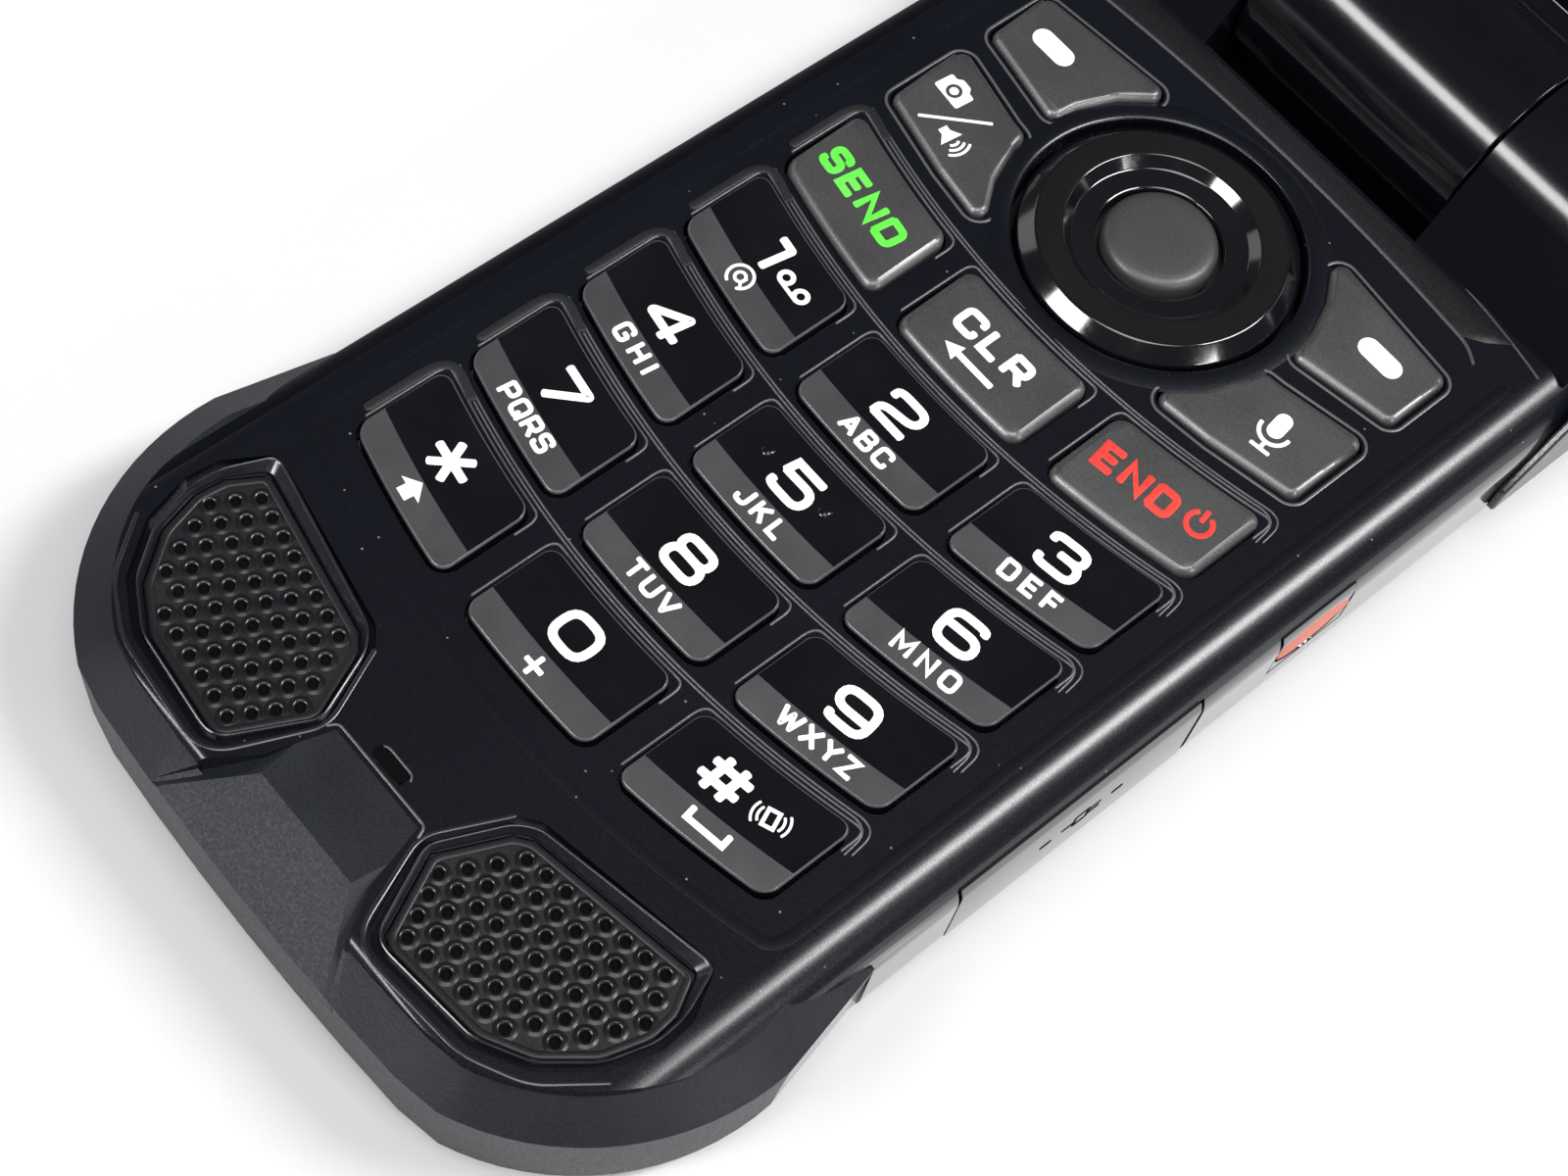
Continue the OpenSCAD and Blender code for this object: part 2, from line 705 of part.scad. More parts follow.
module battery() {
    color([0.2, 0.22, 0.26]) translate([0, bay_y, battery_z])
        rounded_plate(battery_w, battery_l, battery_t, 1.5);
}

module battery_cover() {
    color([0.08, 0.08, 0.09]) difference() {
        translate([0, bay_y, 0]) rounded_plate(cover_w, cover_l, cover_t, cover_corner - play);
        translate([-latch_w / 2 - play, latch_y - play, -1])
            cube([latch_w + 2 * play, latch_l + latch_travel + 2 * play, 5]);
        translate([-bolt_w / 2 - play, bay_y - cover_l / 2 - 1, bolt_z - 0.1])
            cube([bolt_w + 2 * play, 5, 5]);
    }
}

module cover_seal() {
    color([0.5, 0.16, 0.1]) translate([0, bay_y, cover_t]) difference() {
        rounded_plate(bay_w + 2.4, bay_l + 2.4, seal_t, 3);
        translate([0, 0, -1]) rounded_plate(bay_w + 0.4, bay_l + 0.4, seal_t + 2, 2);
    }
}

module cover_latch() {
    color([0.55, 0.55, 0.57]) {
        translate([-latch_w / 2, latch_y, 0.15]) cube([latch_w, latch_l, cover_t - 0.3]);
        translate([-bolt_w / 2, bay_y - cover_l / 2 - bolt_l + 1.6, bolt_z])
            cube([bolt_w, latch_y - bay_y + cover_l / 2 + bolt_l - 1.6 + eps, cover_t - 0.15 - bolt_z]);
    }
}

module usb_connector() {
    color([0.7, 0.7, 0.72]) translate([half_w - usb_in, usb_y - usb_w / 2, usb_top - usb_h]) difference() {
        cube([usb_in - port_t - 0.6, usb_w, usb_h]);
        translate([1, 0.35, 0.35]) cube([10, usb_w - 0.7, usb_h - 0.7]);
    }
}

module hinge_cartridge() {
    color([0.6, 0.6, 0.62]) difference() {
        hinge_rod(knuckle_x, knuckle_x + cartridge_l, bush_r);
        hinge_rod(knuckle_x - 1, knuckle_x + cartridge_l - 1, shaft_r + shaft_fit);
    }
}

module hinge_bush() {
    color([0.75, 0.6, 0.35]) difference() {
        hinge_rod(-knuckle_x - cartridge_l, -knuckle_x, bush_r);
        hinge_rod(-knuckle_x - cartridge_l + 1, -knuckle_x + 1, shaft_r + shaft_fit);
    }
}

module hinge_caps() {
    cap_r = barrel_r - 2.2;
    color([0.15, 0.15, 0.16]) both_sides() translate([half_w, 0, 0]) union() {
        translate([0, hinge_y, hinge_z]) rotate([0, 90, 0]) cylinder(r = cap_r, h = 0.7);
        rotate([90, 0, 90]) linear_extrude(0.7) polygon([
            [hinge_y - 18.5, 4.6], [hinge_y - 4, 4.6], [hinge_y + 2.6, hinge_z - 5.4],
            [hinge_y, hinge_z], [hinge_y - 4.4, hinge_z + 4.2], [hinge_y - 15.5, 8.8], [hinge_y - 18, 6.6]]);
    }
}

module housing_screws() {
    color([0.6, 0.6, 0.62]) for (x = [-boss_x, boss_x], y = boss_ys) translate([x, y, 0]) {
        translate([0, 0, 0.8]) cylinder(r = head_r, h = 1.2);
        translate([0, 0, 1.9]) cylinder(r = screw_r, h = joint_z + 3);
    }
}

// ---------- keys that move ----------

module nav_plate() {
    color([0.4, 0.4, 0.42]) translate([0, nav_y, 0]) {
        translate([0, 0, dome_top + 0.25]) cylinder(r = ok_r, h = 0.65);
        translate([0, 0, dome_top + 0.05]) cylinder(r = 1.2, h = 0.3);
    }
}

// The navigation ring: a lip, a dished face and a bevelled rim, on a flange under the deck
module nav_ring() {
    base = membrane_top - 0.2;
    color([0.06, 0.06, 0.07]) translate([0, nav_y, 0]) rotate_extrude() polygon([
        [ok_r + 0.5, deck_under + 0.1], [ok_r + 0.5, key_top - 0.7], [ok_r + 2.6, key_top + 0.25],
        [ok_r + 3.1, key_top + 0.25], [ring_r - 2.2, key_top + 0.1], [ring_r - 1.4, key_top + 0.1],
        [ring_r, key_top - 0.9], [ring_r, base + 0.5], [ring_r + 0.9, base + 0.5],
        [ring_r + 0.9, base], [ok_r + 2, base], [ok_r + 2, deck_under + 0.1]]);
    color([0.06, 0.06, 0.07]) for (p = nav_domes)
        translate([p[0], p[1], dome_top + 0.42]) cylinder(r = 0.8, h = base - dome_top - 0.4);
}

module ok_button() {
    color([0.3, 0.3, 0.31]) translate([0, nav_y, 0]) {
        translate([0, 0, key_base]) cylinder(r = ok_r, h = key_top + 0.1 - key_base);
        translate([0, 0, key_base]) cylinder(r = ok_r + 1.1, h = 0.5);
    }
}

module sos_button() {
    color([0.9, 0.3, 0.1]) translate([half_w, sos_y, side_key_z]) {
        translate([-wall - side_flange_gap - eps, -sos_l / 2, -side_key_h / 2])
            cube([wall + side_flange_gap + side_proud, sos_l, side_key_h]);
        translate([-wall - side_flange_gap - side_flange, -sos_l / 2 - side_lip, -side_key_h / 2 - side_lip])
            cube([side_flange, sos_l + 2 * side_lip, side_key_h + 2 * side_lip]);
    }
}

module volume_rocker() {
    color([0.12, 0.12, 0.13]) translate([-half_w, rocker_y, rocker_z]) {
        translate([-side_proud, -rocker_l / 2, -rocker_h / 2])
            cube([wall + side_flange_gap + side_proud + eps, rocker_l, rocker_h]);
        translate([wall + side_flange_gap, -rocker_l / 2 - side_lip, -rocker_h / 2 - side_lip])
            cube([side_flange, rocker_l + 2 * side_lip, rocker_h + 2 * side_lip]);
    }
}

module port_cover() {
    color([0.13, 0.13, 0.14]) {
        intersection() {
            translate([half_w - port_t + port_proud, port_y0, port_z0]) cube([port_t, port_l, port_h]);
            base_form(-port_proud);
        }
        translate([half_w - port_t + port_proud - plug_in, usb_y - usb_w / 2 + 0.9, usb_top - usb_h + 0.75])
            cube([plug_in + eps, usb_w - 1.8, usb_h - 1.5]);
    }
}

// ---------- the lid ----------

// Swings what is drawn closed to the open position
module opened() {
    translate([0, hinge_y, hinge_z]) rotate([-open_angle, 0, 0]) translate([0, -hinge_y, -hinge_z])
        children();
}

// Plan of the closed lid, moved in by d
module lid_plan(d = 0) {
    soften(lid_corner - d) offset(delta = -d) polygon(concat(
        [for (i = [-8:8]) let (x = lid_half * i / 8) [x, smile(x, -lid_end, lid_smile_r)]],
        [[lid_half, lid_hinge_y], [-lid_half, lid_hinge_y]]));
}

// Section across the closed lid, moved in by d
module lid_section(d = 0) {
    w = lid_half - d;
    top = lid_top - d;
    r = lid_round - d;
    polygon(concat([[-w, lid_z - 1], [w, lid_z - 1]], arc(w - r, top - r, r, 0, 90),
        arc(-w + r, top - r, r, 90, 180)));
}

// Section along the closed lid: its hinge end slopes like the knuckles, its free end is rounded
module lid_side(d = 0) {
    r = lid_round - d;
    end = -lid_end + d;
    polygon(concat(
        [[end, lid_z - 1], [lid_hinge_y - 2.6 - d, lid_z - 1], [lid_hinge_y - 2.6 - d, lid_z],
         [lid_hinge_y - d, lid_z + 4.6], [lid_hinge_y - d, lid_top - d]],
        arc(end + r, lid_top - d - r, r, 90, 180)));
}

module lid_form(d = 0) {
    intersection() {
        translate([0, 0, lid_z]) linear_extrude(lid_t) square_lid_plan(d);
        rotate([90, 0, 0]) translate([0, 0, -hinge_y]) linear_extrude(hinge_y + lid_end)
            lid_section(d);
        rotate([90, 0, 90]) translate([0, 0, -lid_half]) linear_extrude(lid_w) lid_side(d);
    }
}
// The lid's plan with square corners at the hinge end
module square_lid_plan(d) {
    lid_plan(d);
    translate([-lid_half + d, 0]) square([lid_w - 2 * d, lid_hinge_y - d]);
}

// The band of rubber round the free end of the lid
module lid_band() {
    intersection() {
        difference() {
            lid_form();
            translate([0, 0, lid_z - 1]) linear_extrude(lid_t + 2) lid_plan(lid_bumper_t);
        }
        translate([-lid_half, -lid_end - 1, lid_z + 1.4])
            cube([lid_w, lid_end + 1 + lid_bumper_y, lid_t - 3.4]);
    }
}

module window_plan(w, h, y, d = 0, r = 2) {
    translate([0, y]) hull() for (x = [-1, 1], v = [-1, 1])
        translate([x * (w / 2 + d - r), v * (h / 2 + d - r)]) circle(r, $fn = 32);
}

module lid_inner_shell() {
    color([0.08, 0.09, 0.12]) opened() difference() {
        union() {
            difference() {
                intersection() {
                    lid_form();
                    translate([-100, -100, 0]) cube([200, 200, split_z]);
                }
                lid_band();
                intersection() {
                    translate([0, 0, display_z]) linear_extrude(lid_t) lid_plan(lid_bumper_t + lid_wall);
                    translate([-100, -100, 0]) cube([200, 100 + lid_hinge_y - 4, 60]);
                }
            }
            translate([-barrel_w / 2, lid_hinge_y - 4, lid_z + 0.9])
                cube([barrel_w, 8, split_z - lid_z - 0.9]);
            translate([-barrel_w / 2, lid_hinge_y + eps, split_z - 1])
                cube([barrel_w, hinge_y - lid_hinge_y, hinge_z + barrel_r - split_z + 1 - 0.05]);
            hinge_rod(-barrel_w / 2, barrel_w / 2, barrel_r);
        }
        translate([0, 0, lid_z - 1]) linear_extrude(1 + lens_t)
            window_plan(screen_w, screen_h, screen_y, lens_edge + 0.1, 3);
        translate([0, 0, lid_z - 1]) linear_extrude(10) window_plan(screen_w, screen_h, screen_y);
        translate([-ear_w / 2, ear_y - 0.8, lid_z - 1]) cube([ear_w, 1.6, 10]);
        for (side = [-1, 1]) translate([side * pad_x, pad_y, lid_z - 1]) cylinder(r = pad_r + 0.1, h = 1.6);
        hinge_rod(barrel_w / 2 - shaft_in, barrel_w / 2 + 1, shaft_r);
        hinge_rod(-barrel_w / 2 - 1, -barrel_w / 2 + shaft_in, shaft_r);
        hinge_rod(-barrel_w / 2, barrel_w / 2, flex_r + 0.2);
    }
}

module lid_outer_shell() {
    color([0.08, 0.09, 0.12]) opened() difference() {
        intersection() {
            lid_form();
            translate([-100, -100, split_z]) cube([200, 200, lid_t]);
        }
        lid_band();
        intersection() {
            translate([0, 0, lid_z]) linear_extrude(lid_t - lid_wall) lid_plan(lid_bumper_t + lid_wall);
            translate([-100, -100, 0]) cube([200, 100 + lid_hinge_y - lid_wall, 60]);
        }
        translate([0, 0, lid_top - lens_t]) linear_extrude(5)
            window_plan(outer_lens_w, outer_lens_h, outer_y, 0.1, 3);
        translate([0, 0, lid_top - 5]) linear_extrude(6)
            window_plan(outer_lens_w - 5, outer_lens_h - 5, outer_y, 0, 2);
        translate([0, camera_y, lid_top - 5]) cylinder(r = camera_r, h = 10);
        translate([flash_x, camera_y, lid_top - 5]) cylinder(r = flash_r + 0.1, h = 10);
    }
}

module lid_bumper() {
    color([0.2, 0.21, 0.23]) opened() lid_band();
}

module display_lens() {
    color([0.02, 0.02, 0.03]) opened() translate([0, 0, lid_z]) linear_extrude(lens_t)
        window_plan(screen_w, screen_h, screen_y, lens_edge, 3);
}

module main_display() {
    color([0.1, 0.11, 0.14]) opened() translate([0, 0, display_z - ledge_t + 0.05])
        linear_extrude(display_t + ledge_t - 0.05) window_plan(screen_w, screen_h, screen_y, -0.1, 1.9);
}

module outer_lens() {
    color([0.02, 0.02, 0.03]) opened() translate([0, 0, lid_top - lens_t]) linear_extrude(lens_t)
        window_plan(outer_lens_w, outer_lens_h, outer_y, 0, 3);
}

module outer_display() {
    color([0.1, 0.11, 0.14]) opened() translate([0, 0, lid_board_z + lid_board_t])
        linear_extrude(lid_top - lens_t - 0.05 - lid_board_z - lid_board_t)
        window_plan(outer_lens_w - 7, outer_lens_h - 7, outer_y);
}

module camera_module() {
    color([0.15, 0.15, 0.16]) opened() translate([-camera_body / 2, camera_y - camera_body / 2,
        lid_board_z + lid_board_t])
        cube([camera_body, camera_body, lid_top - 1.9 - lid_board_z - lid_board_t]);
}

// The camera's bezel with its window, seen on the outer face
module camera_lens() {
    color([0.3, 0.3, 0.32]) opened() translate([0, camera_y, 0]) difference() {
        translate([0, 0, lid_top - 1.8]) cylinder(r = camera_r - 0.1, h = 2);
        translate([0, 0, lid_top - 0.3]) cylinder(r = camera_r - 1.8, h = 2);
    }
}

module flash_lens() {
    color([0.9, 0.9, 0.8]) opened() translate([flash_x, camera_y, lid_board_z + lid_board_t])
        cylinder(r = flash_r, h = lid_top - lid_board_z - lid_board_t);
}

module earpiece() {
    color([0.3, 0.3, 0.32]) opened() translate([-ear_w / 2 - 1.5, ear_y - 2.3, display_z])
        cube([ear_w + 3, 4.6, 2.2]);
}

module earpiece_mesh() {
    color([0.25, 0.25, 0.26]) opened() translate([-ear_w / 2 + 0.1, ear_y - 0.7, lid_z + 0.3])
        cube([ear_w - 0.2, 1.4, display_z - lid_z - 0.35]);
}

module lid_board() {
    color([0.1, 0.3, 0.2]) opened() translate([-lid_board_w / 2, lid_board_y, lid_board_z])
        cube([lid_board_w, lid_hinge_y - 7.3 - lid_board_y, lid_board_t]);
}

module lid_pads() {
    color([0.1, 0.1, 0.1]) opened() for (side = [-1, 1])
        translate([side * pad_x, pad_y, lid_z - lid_gap + 0.2]) cylinder(r = pad_r, h = lid_gap + 0.4);
}

module hinge_shafts() {
    color([0.7, 0.7, 0.72]) {
        hinge_rod(barrel_w / 2 - shaft_in, knuckle_x + cartridge_l - 1.3, shaft_r);
        difference() {
            hinge_rod(-knuckle_x - cartridge_l + 1.3, -barrel_w / 2 + shaft_in, shaft_r);
            hinge_rod(-knuckle_x - cartridge_l, -barrel_w / 2 + shaft_in + 1, flex_r + 0.2);
        }
    }
}

module hinge_flex() {
    color([0.75, 0.5, 0.2]) hinge_rod(-knuckle_x - cartridge_l + 1.6, barrel_w / 2 - shaft_in - 0.3, flex_r);
}

front_housing();
rear_housing();
bottom_bumper();
speaker_grilles();
loudspeakers();
keypad_membrane();
dome_switches();
main_board();
battery();
battery_cover();
cover_seal();
cover_latch();
usb_connector();
microphone();
vibration_motor();
hinge_caps();
hinge_cartridge();
hinge_bush();
housing_screws();
number_key(-1, 0);  // key_star
number_key(0, 0);  // key_0
number_key(1, 0);  // key_hash
number_key(-1, 1);  // key_7
number_key(0, 1);  // key_8
number_key(1, 1);  // key_9
number_key(-1, 2);  // key_4
number_key(0, 2);  // key_5
number_key(1, 2);  // key_6
number_key(-1, 3);  // key_1
number_key(0, 3);  // key_2
number_key(1, 3);  // key_3
call_key(-1);  // send_key
call_key(0);  // clear_key
call_key(1);  // end_key
ring_key(-1, false);  // speaker_key
ring_key(1, false);  // voice_key
ring_key(-1, true);  // soft_key_left
ring_key(1, true);  // soft_key_right
nav_plate();
nav_ring();
ok_button();
sos_button();
volume_rocker();
port_cover();
lid_inner_shell();
lid_outer_shell();
lid_bumper();
display_lens();
main_display();
outer_lens();
outer_display();
camera_module();
camera_lens();
flash_lens();
earpiece();
earpiece_mesh();
lid_board();
lid_pads();
hinge_shafts();
hinge_flex();
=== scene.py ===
import math

import bmesh
import bpy
from mathutils import Matrix, Vector
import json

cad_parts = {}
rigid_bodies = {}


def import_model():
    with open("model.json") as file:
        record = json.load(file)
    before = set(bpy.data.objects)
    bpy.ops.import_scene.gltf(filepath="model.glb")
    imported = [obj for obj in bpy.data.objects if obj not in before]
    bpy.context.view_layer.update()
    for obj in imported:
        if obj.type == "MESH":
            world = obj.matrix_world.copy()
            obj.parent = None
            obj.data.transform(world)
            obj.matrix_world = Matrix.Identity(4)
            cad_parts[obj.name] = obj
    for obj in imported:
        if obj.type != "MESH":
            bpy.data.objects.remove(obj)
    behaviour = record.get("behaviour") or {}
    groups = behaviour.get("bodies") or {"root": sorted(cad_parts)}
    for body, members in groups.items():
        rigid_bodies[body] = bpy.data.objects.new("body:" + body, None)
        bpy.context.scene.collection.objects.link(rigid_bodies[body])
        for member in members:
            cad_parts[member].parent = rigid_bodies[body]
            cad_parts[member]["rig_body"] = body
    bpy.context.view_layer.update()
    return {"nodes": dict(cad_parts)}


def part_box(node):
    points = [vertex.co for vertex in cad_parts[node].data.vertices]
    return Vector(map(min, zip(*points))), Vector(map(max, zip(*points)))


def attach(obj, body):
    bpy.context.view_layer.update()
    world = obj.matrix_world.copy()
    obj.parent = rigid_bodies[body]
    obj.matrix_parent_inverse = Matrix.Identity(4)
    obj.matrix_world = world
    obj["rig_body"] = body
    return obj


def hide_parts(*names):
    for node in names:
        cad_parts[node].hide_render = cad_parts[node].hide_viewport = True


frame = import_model()
MM = 0.001

# ---------- Camera ----------
# A camera above the lower right corner of the open phone, turned so that the phone runs from the
# lower left of the frame up to its top right corner.

eye = (59.81, -94.54, 180.64)
tilt, lean, turn = 28.284, -7.590, 49.307

camera = bpy.data.objects.new("camera", bpy.data.cameras.new("camera"))
camera.location = Vector(eye) * MM
camera.rotation_euler = [math.radians(angle) for angle in (tilt, lean, turn)]
camera.data.sensor_width = 36
camera.data.lens = 64.28
camera.data.clip_start = 0.01
bpy.context.collection.objects.link(camera)
bpy.context.scene.camera = camera

# ---------- Light and table ----------
# A lamp in front, a long strip light and a small window on the right, and dim panels above, on the
# left and behind light the phone. The sky over the hinge stays dark, so the deck keeps its black.
# The table is a pale board.


def softbox(name, direction, distance, width, length, glow, along=(1, 0, 0)):
    """A lit panel seen from the phone in a direction; along is where its width runs."""
    lamp = bpy.data.objects.new(name, bpy.data.lights.new(name, "AREA"))
    lamp.data.shape = "RECTANGLE"
    lamp.data.size = width
    lamp.data.size_y = length
    lamp.data.energy = glow * math.pi * width * length
    back = Vector(direction).normalized()
    side = (Vector(along) - back * back.dot(Vector(along))).normalized()
    lamp.matrix_world = Matrix.Translation(back * distance) @ Matrix(
        (side, back.cross(side), back)).transposed().to_4x4()
    bpy.context.collection.objects.link(lamp)


softbox("lamp_front", (-0.24, -0.70, 0.67), 1.0, 0.44, 0.17, 18)
softbox("strip_right", (0.41, 0.45, 0.79), 1.0, 0.20, 0.46, 22, along=(0.95, -0.28, -0.30))
softbox("panel_above", (0.22, -0.22, 0.95), 1.0, 0.55, 0.60, 4.0)
softbox("panel_left", (-0.92, -0.10, 0.38), 1.1, 0.60, 0.30, 1.0, along=(0, 1, 0))
softbox("panel_behind", (0.45, 0.85, 0.27), 1.1, 0.50, 0.30, 1.2)
softbox("window_right", (0.85, 0.05, 0.50), 1.0, 0.16, 0.22, 14)

sky = bpy.data.worlds.new("studio")
sky.use_nodes = True
sky.node_tree.nodes["Background"].inputs["Color"].default_value = (0.90, 0.93, 1.0, 1)
sky.node_tree.nodes["Background"].inputs["Strength"].default_value = 0.06
bpy.context.scene.world = sky
bpy.context.scene.view_settings.view_transform = "Standard"


def with_inputs(nodes, kind, values):
    """A new shader node of that kind, with the values of its inputs set."""
    made = nodes.new(kind)
    for name, value in values.items():
        made.inputs[name].default_value = value
    return made


def finish(name, shade, worn, rough, grain=1.2, depth=0.0, metal=0.0, gloss=0.5, drift=9.0, coat=0.0):
    """A finish whose colour drifts between two shades and whose grain drives roughness and bump.
    grain is the size of the grain and drift the size of the patches, in millimetres."""
    material = bpy.data.materials.new(name)
    material.use_nodes = True
    nodes, links = material.node_tree.nodes, material.node_tree.links
    shader = nodes["Principled BSDF"]
    shader.inputs["Metallic"].default_value = metal
    shader.inputs["Specular IOR Level"].default_value = gloss
    shader.inputs["Coat Weight"].default_value = coat
    shader.inputs["Coat Roughness"].default_value = 0.08
    place = nodes.new("ShaderNodeTexCoord")
    patches = with_inputs(nodes, "ShaderNodeTexNoise", {"Scale": 1000 / drift, "Detail": 5})
    tint = nodes.new("ShaderNodeMix")
    tint.data_type = "RGBA"
    tint.inputs["A"].default_value = (*shade, 1)
    tint.inputs["B"].default_value = (*worn, 1)
    spread = with_inputs(nodes, "ShaderNodeMapRange", {"From Min": 0.35, "From Max": 0.75})
    links.new(place.outputs["Object"], patches.inputs["Vector"])
    links.new(patches.outputs["Fac"], spread.inputs["Value"])
    links.new(spread.outputs["Result"], tint.inputs["Factor"])
    links.new(tint.outputs["Result"], shader.inputs["Base Color"])
    grit = with_inputs(nodes, "ShaderNodeTexNoise", {"Scale": 1000 / grain, "Detail": 3})
    haze = with_inputs(nodes, "ShaderNodeMapRange", {
        "From Min": 0.3, "From Max": 0.7, "To Min": rough * 0.85, "To Max": min(1.0, rough * 1.2)})
    links.new(place.outputs["Object"], grit.inputs["Vector"])
    links.new(grit.outputs["Fac"], haze.inputs["Value"])
    links.new(haze.outputs["Result"], shader.inputs["Roughness"])
    if depth:
        bump = with_inputs(nodes, "ShaderNodeBump", {"Strength": 1, "Distance": depth * MM})
        links.new(grit.outputs["Fac"], bump.inputs["Height"])
        links.new(bump.outputs["Normal"], shader.inputs["Normal"])
    return material


board = finish("pale_board", (0.86, 0.86, 0.865), (0.83, 0.835, 0.84), 0.7, grain=0.6, depth=0.01, drift=60)
bpy.ops.mesh.primitive_plane_add(size=3)
table = bpy.context.object
table.name = "table"
table.data.materials.append(board)

# ---------- Front and rear housings ----------
# Two halves moulded in black polycarbonate, screwed together round the works. The front half is
# the keypad deck with the hinge knuckles, and its satin face gathers a little dust.


def dusted(material, size, share):
    """Fine pale specks over a finish: size apart in millimetres, on that share of the places."""
    nodes, links = material.node_tree.nodes, material.node_tree.links
    shader = nodes["Principled BSDF"]
    under = shader.inputs["Base Color"].links[0].from_socket
    specks = with_inputs(nodes, "ShaderNodeTexVoronoi", {"Scale": 1000 / size})
    place = nodes.new("ShaderNodeTexCoord")
    links.new(place.outputs["Object"], specks.inputs["Vector"])
    near = with_inputs(nodes, "ShaderNodeMapRange", {"From Min": 0.10, "From Max": 0.02})
    links.new(specks.outputs["Distance"], near.inputs["Value"])
    pick = nodes.new("ShaderNodeSeparateColor")
    links.new(specks.outputs["Color"], pick.inputs["Color"])
    few = nodes.new("ShaderNodeMath")
    few.operation = "LESS_THAN"
    few.inputs[1].default_value = share
    links.new(pick.outputs["Red"], few.inputs[0])
    both = nodes.new("ShaderNodeMath")
    both.operation = "MULTIPLY"
    links.new(near.outputs["Result"], both.inputs[0])
    links.new(few.outputs["Value"], both.inputs[1])
    dusty = nodes.new("ShaderNodeMix")
    dusty.data_type = "RGBA"
    dusty.inputs["B"].default_value = (0.30, 0.31, 0.33, 1)
    links.new(both.outputs["Value"], dusty.inputs["Factor"])
    links.new(under, dusty.inputs["A"])
    links.new(dusty.outputs["Result"], shader.inputs["Base Color"])


deck_black = finish("deck_black", (0.0034, 0.0042, 0.0076), (0.0050, 0.0058, 0.0098), 0.25, grain=0.12,
                    depth=0.0014, gloss=0.65, drift=14)
dusted(deck_black, size=1.1, share=0.16)
rear_black = finish("rear_black", (0.012, 0.012, 0.014), (0.018, 0.018, 0.020), 0.22, grain=0.25,
                    depth=0.002, gloss=0.9)


def fit(mesh, name, body, slot, material, *instead):
    """Puts a piece into the phone: it rides with a body, and may stand for solids of the frame."""
    piece = bpy.data.objects.new(name, mesh)
    bpy.context.collection.objects.link(piece)
    if material:
        mesh.materials.append(material)
    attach(piece, body)
    if instead:
        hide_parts(*instead)
    return piece


def even_shading(piece):
    level = piece.modifiers.new("even_shading", "WEIGHTED_NORMAL")
    level.keep_sharp = True


def shade(form, crease):
    """Smooth shading, broken where two faces meet at more than the crease angle."""
    for face in form.faces:
        face.smooth = True
    for edge in form.edges:
        edge.smooth = not edge.is_manifold or edge.calc_face_angle(0) < math.radians(crease)


def welded(node):
    """The solid of a node as one joined mesh, without the seams between its flat pieces."""
    form = bmesh.new()
    form.from_mesh(frame["nodes"][node].data)
    bmesh.ops.remove_doubles(form, verts=form.verts, dist=0.002 * MM)
    bmesh.ops.dissolve_limit(form, angle_limit=math.radians(0.5), verts=form.verts, edges=form.edges)
    return form


def moulded(node, edge, material, slot, crease=28, steps=2):
    """The solid of a node with its sharp edges rounded the way a mould leaves them."""
    form = welded(node)
    shade(form, crease)
    mesh = bpy.data.meshes.new(node + "_moulded")
    form.to_mesh(mesh)
    form.free()
    piece = fit(mesh, node + "_moulded", frame["nodes"][node]["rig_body"], slot, material, node)
    if edge:
        rounding = piece.modifiers.new("rounding", "BEVEL")
        rounding.width = edge * MM
        rounding.segments = steps
        rounding.limit_method = "ANGLE"
        rounding.angle_limit = math.radians(crease)
        rounding.use_clamp_overlap = True
        even_shading(piece)
    return piece


def dressed(piece, material, chosen):
    """Gives the faces that a rule picks a finish of their own."""
    piece.data.materials.append(material)
    for face in piece.data.polygons:
        if chosen(face.normal, face.center / MM):
            face.material_index = len(piece.data.materials) - 1


wall_black = finish("wall_black", (0.012, 0.012, 0.013), (0.018, 0.018, 0.019), 0.16, grain=0.3, gloss=0.9,
                    coat=0.75)
edge_black = finish("edge_black", (0.0050, 0.0056, 0.0080), (0.0068, 0.0074, 0.0102), 0.42, grain=0.15,
                    depth=0.002, gloss=0.008)
lid_black = finish("lid_black", (0.0030, 0.0038, 0.0054), (0.0044, 0.0052, 0.0072), 0.15, grain=0.15,
                   depth=0.0006, gloss=0.55, drift=14)
wall_x_from = 26
edge_x_to = -24
knuckle_y = 42
upright = 0.89
slanting = 0.35
front = moulded("front_housing", 0.12, deck_black, "housing", crease=30)
dressed(front, wall_black, lambda normal, at: abs(normal.x) > upright and abs(at.x) > wall_x_from)
dressed(front, edge_black, lambda normal, at: -upright <= normal.x < -slanting and at.x < edge_x_to)
dressed(front, lid_black, lambda normal, at: at.y > knuckle_y and abs(normal.x) < slanting)
rear = moulded("rear_housing", 0.15, rear_black, "rear", crease=30)
dressed(rear, wall_black, lambda normal, at: abs(normal.x) > 0.6 and abs(at.x) > wall_x_from)

# ---------- Raised lines on the deck ----------
# Thin ridges stand on the deck where the mould was engraved: one frames the keypad, and three run
# side by side above each row of keys and turn down round the outer keys. The three are painted a
# light grey, a painted highlight along their crests.

flange = 0.7
key_proud = 0.7
keys_low, keys_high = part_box("key_0")
key_top = keys_high[2] / MM
deck = key_top - key_proud
row_0 = keys_low[1] / MM + flange
row_pitch = (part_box("key_8")[0][1] - keys_low[1]) / MM
key_h = (keys_high[1] - keys_low[1]) / MM - 2 * flange
nav_y = sum(corner[1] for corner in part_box("ok_button")) / 2 / MM
smile_run = 166


def smile(x, y0):
    """Height of a row's curve at x, when its middle lies at y0."""
    return y0 + x * x / smile_run


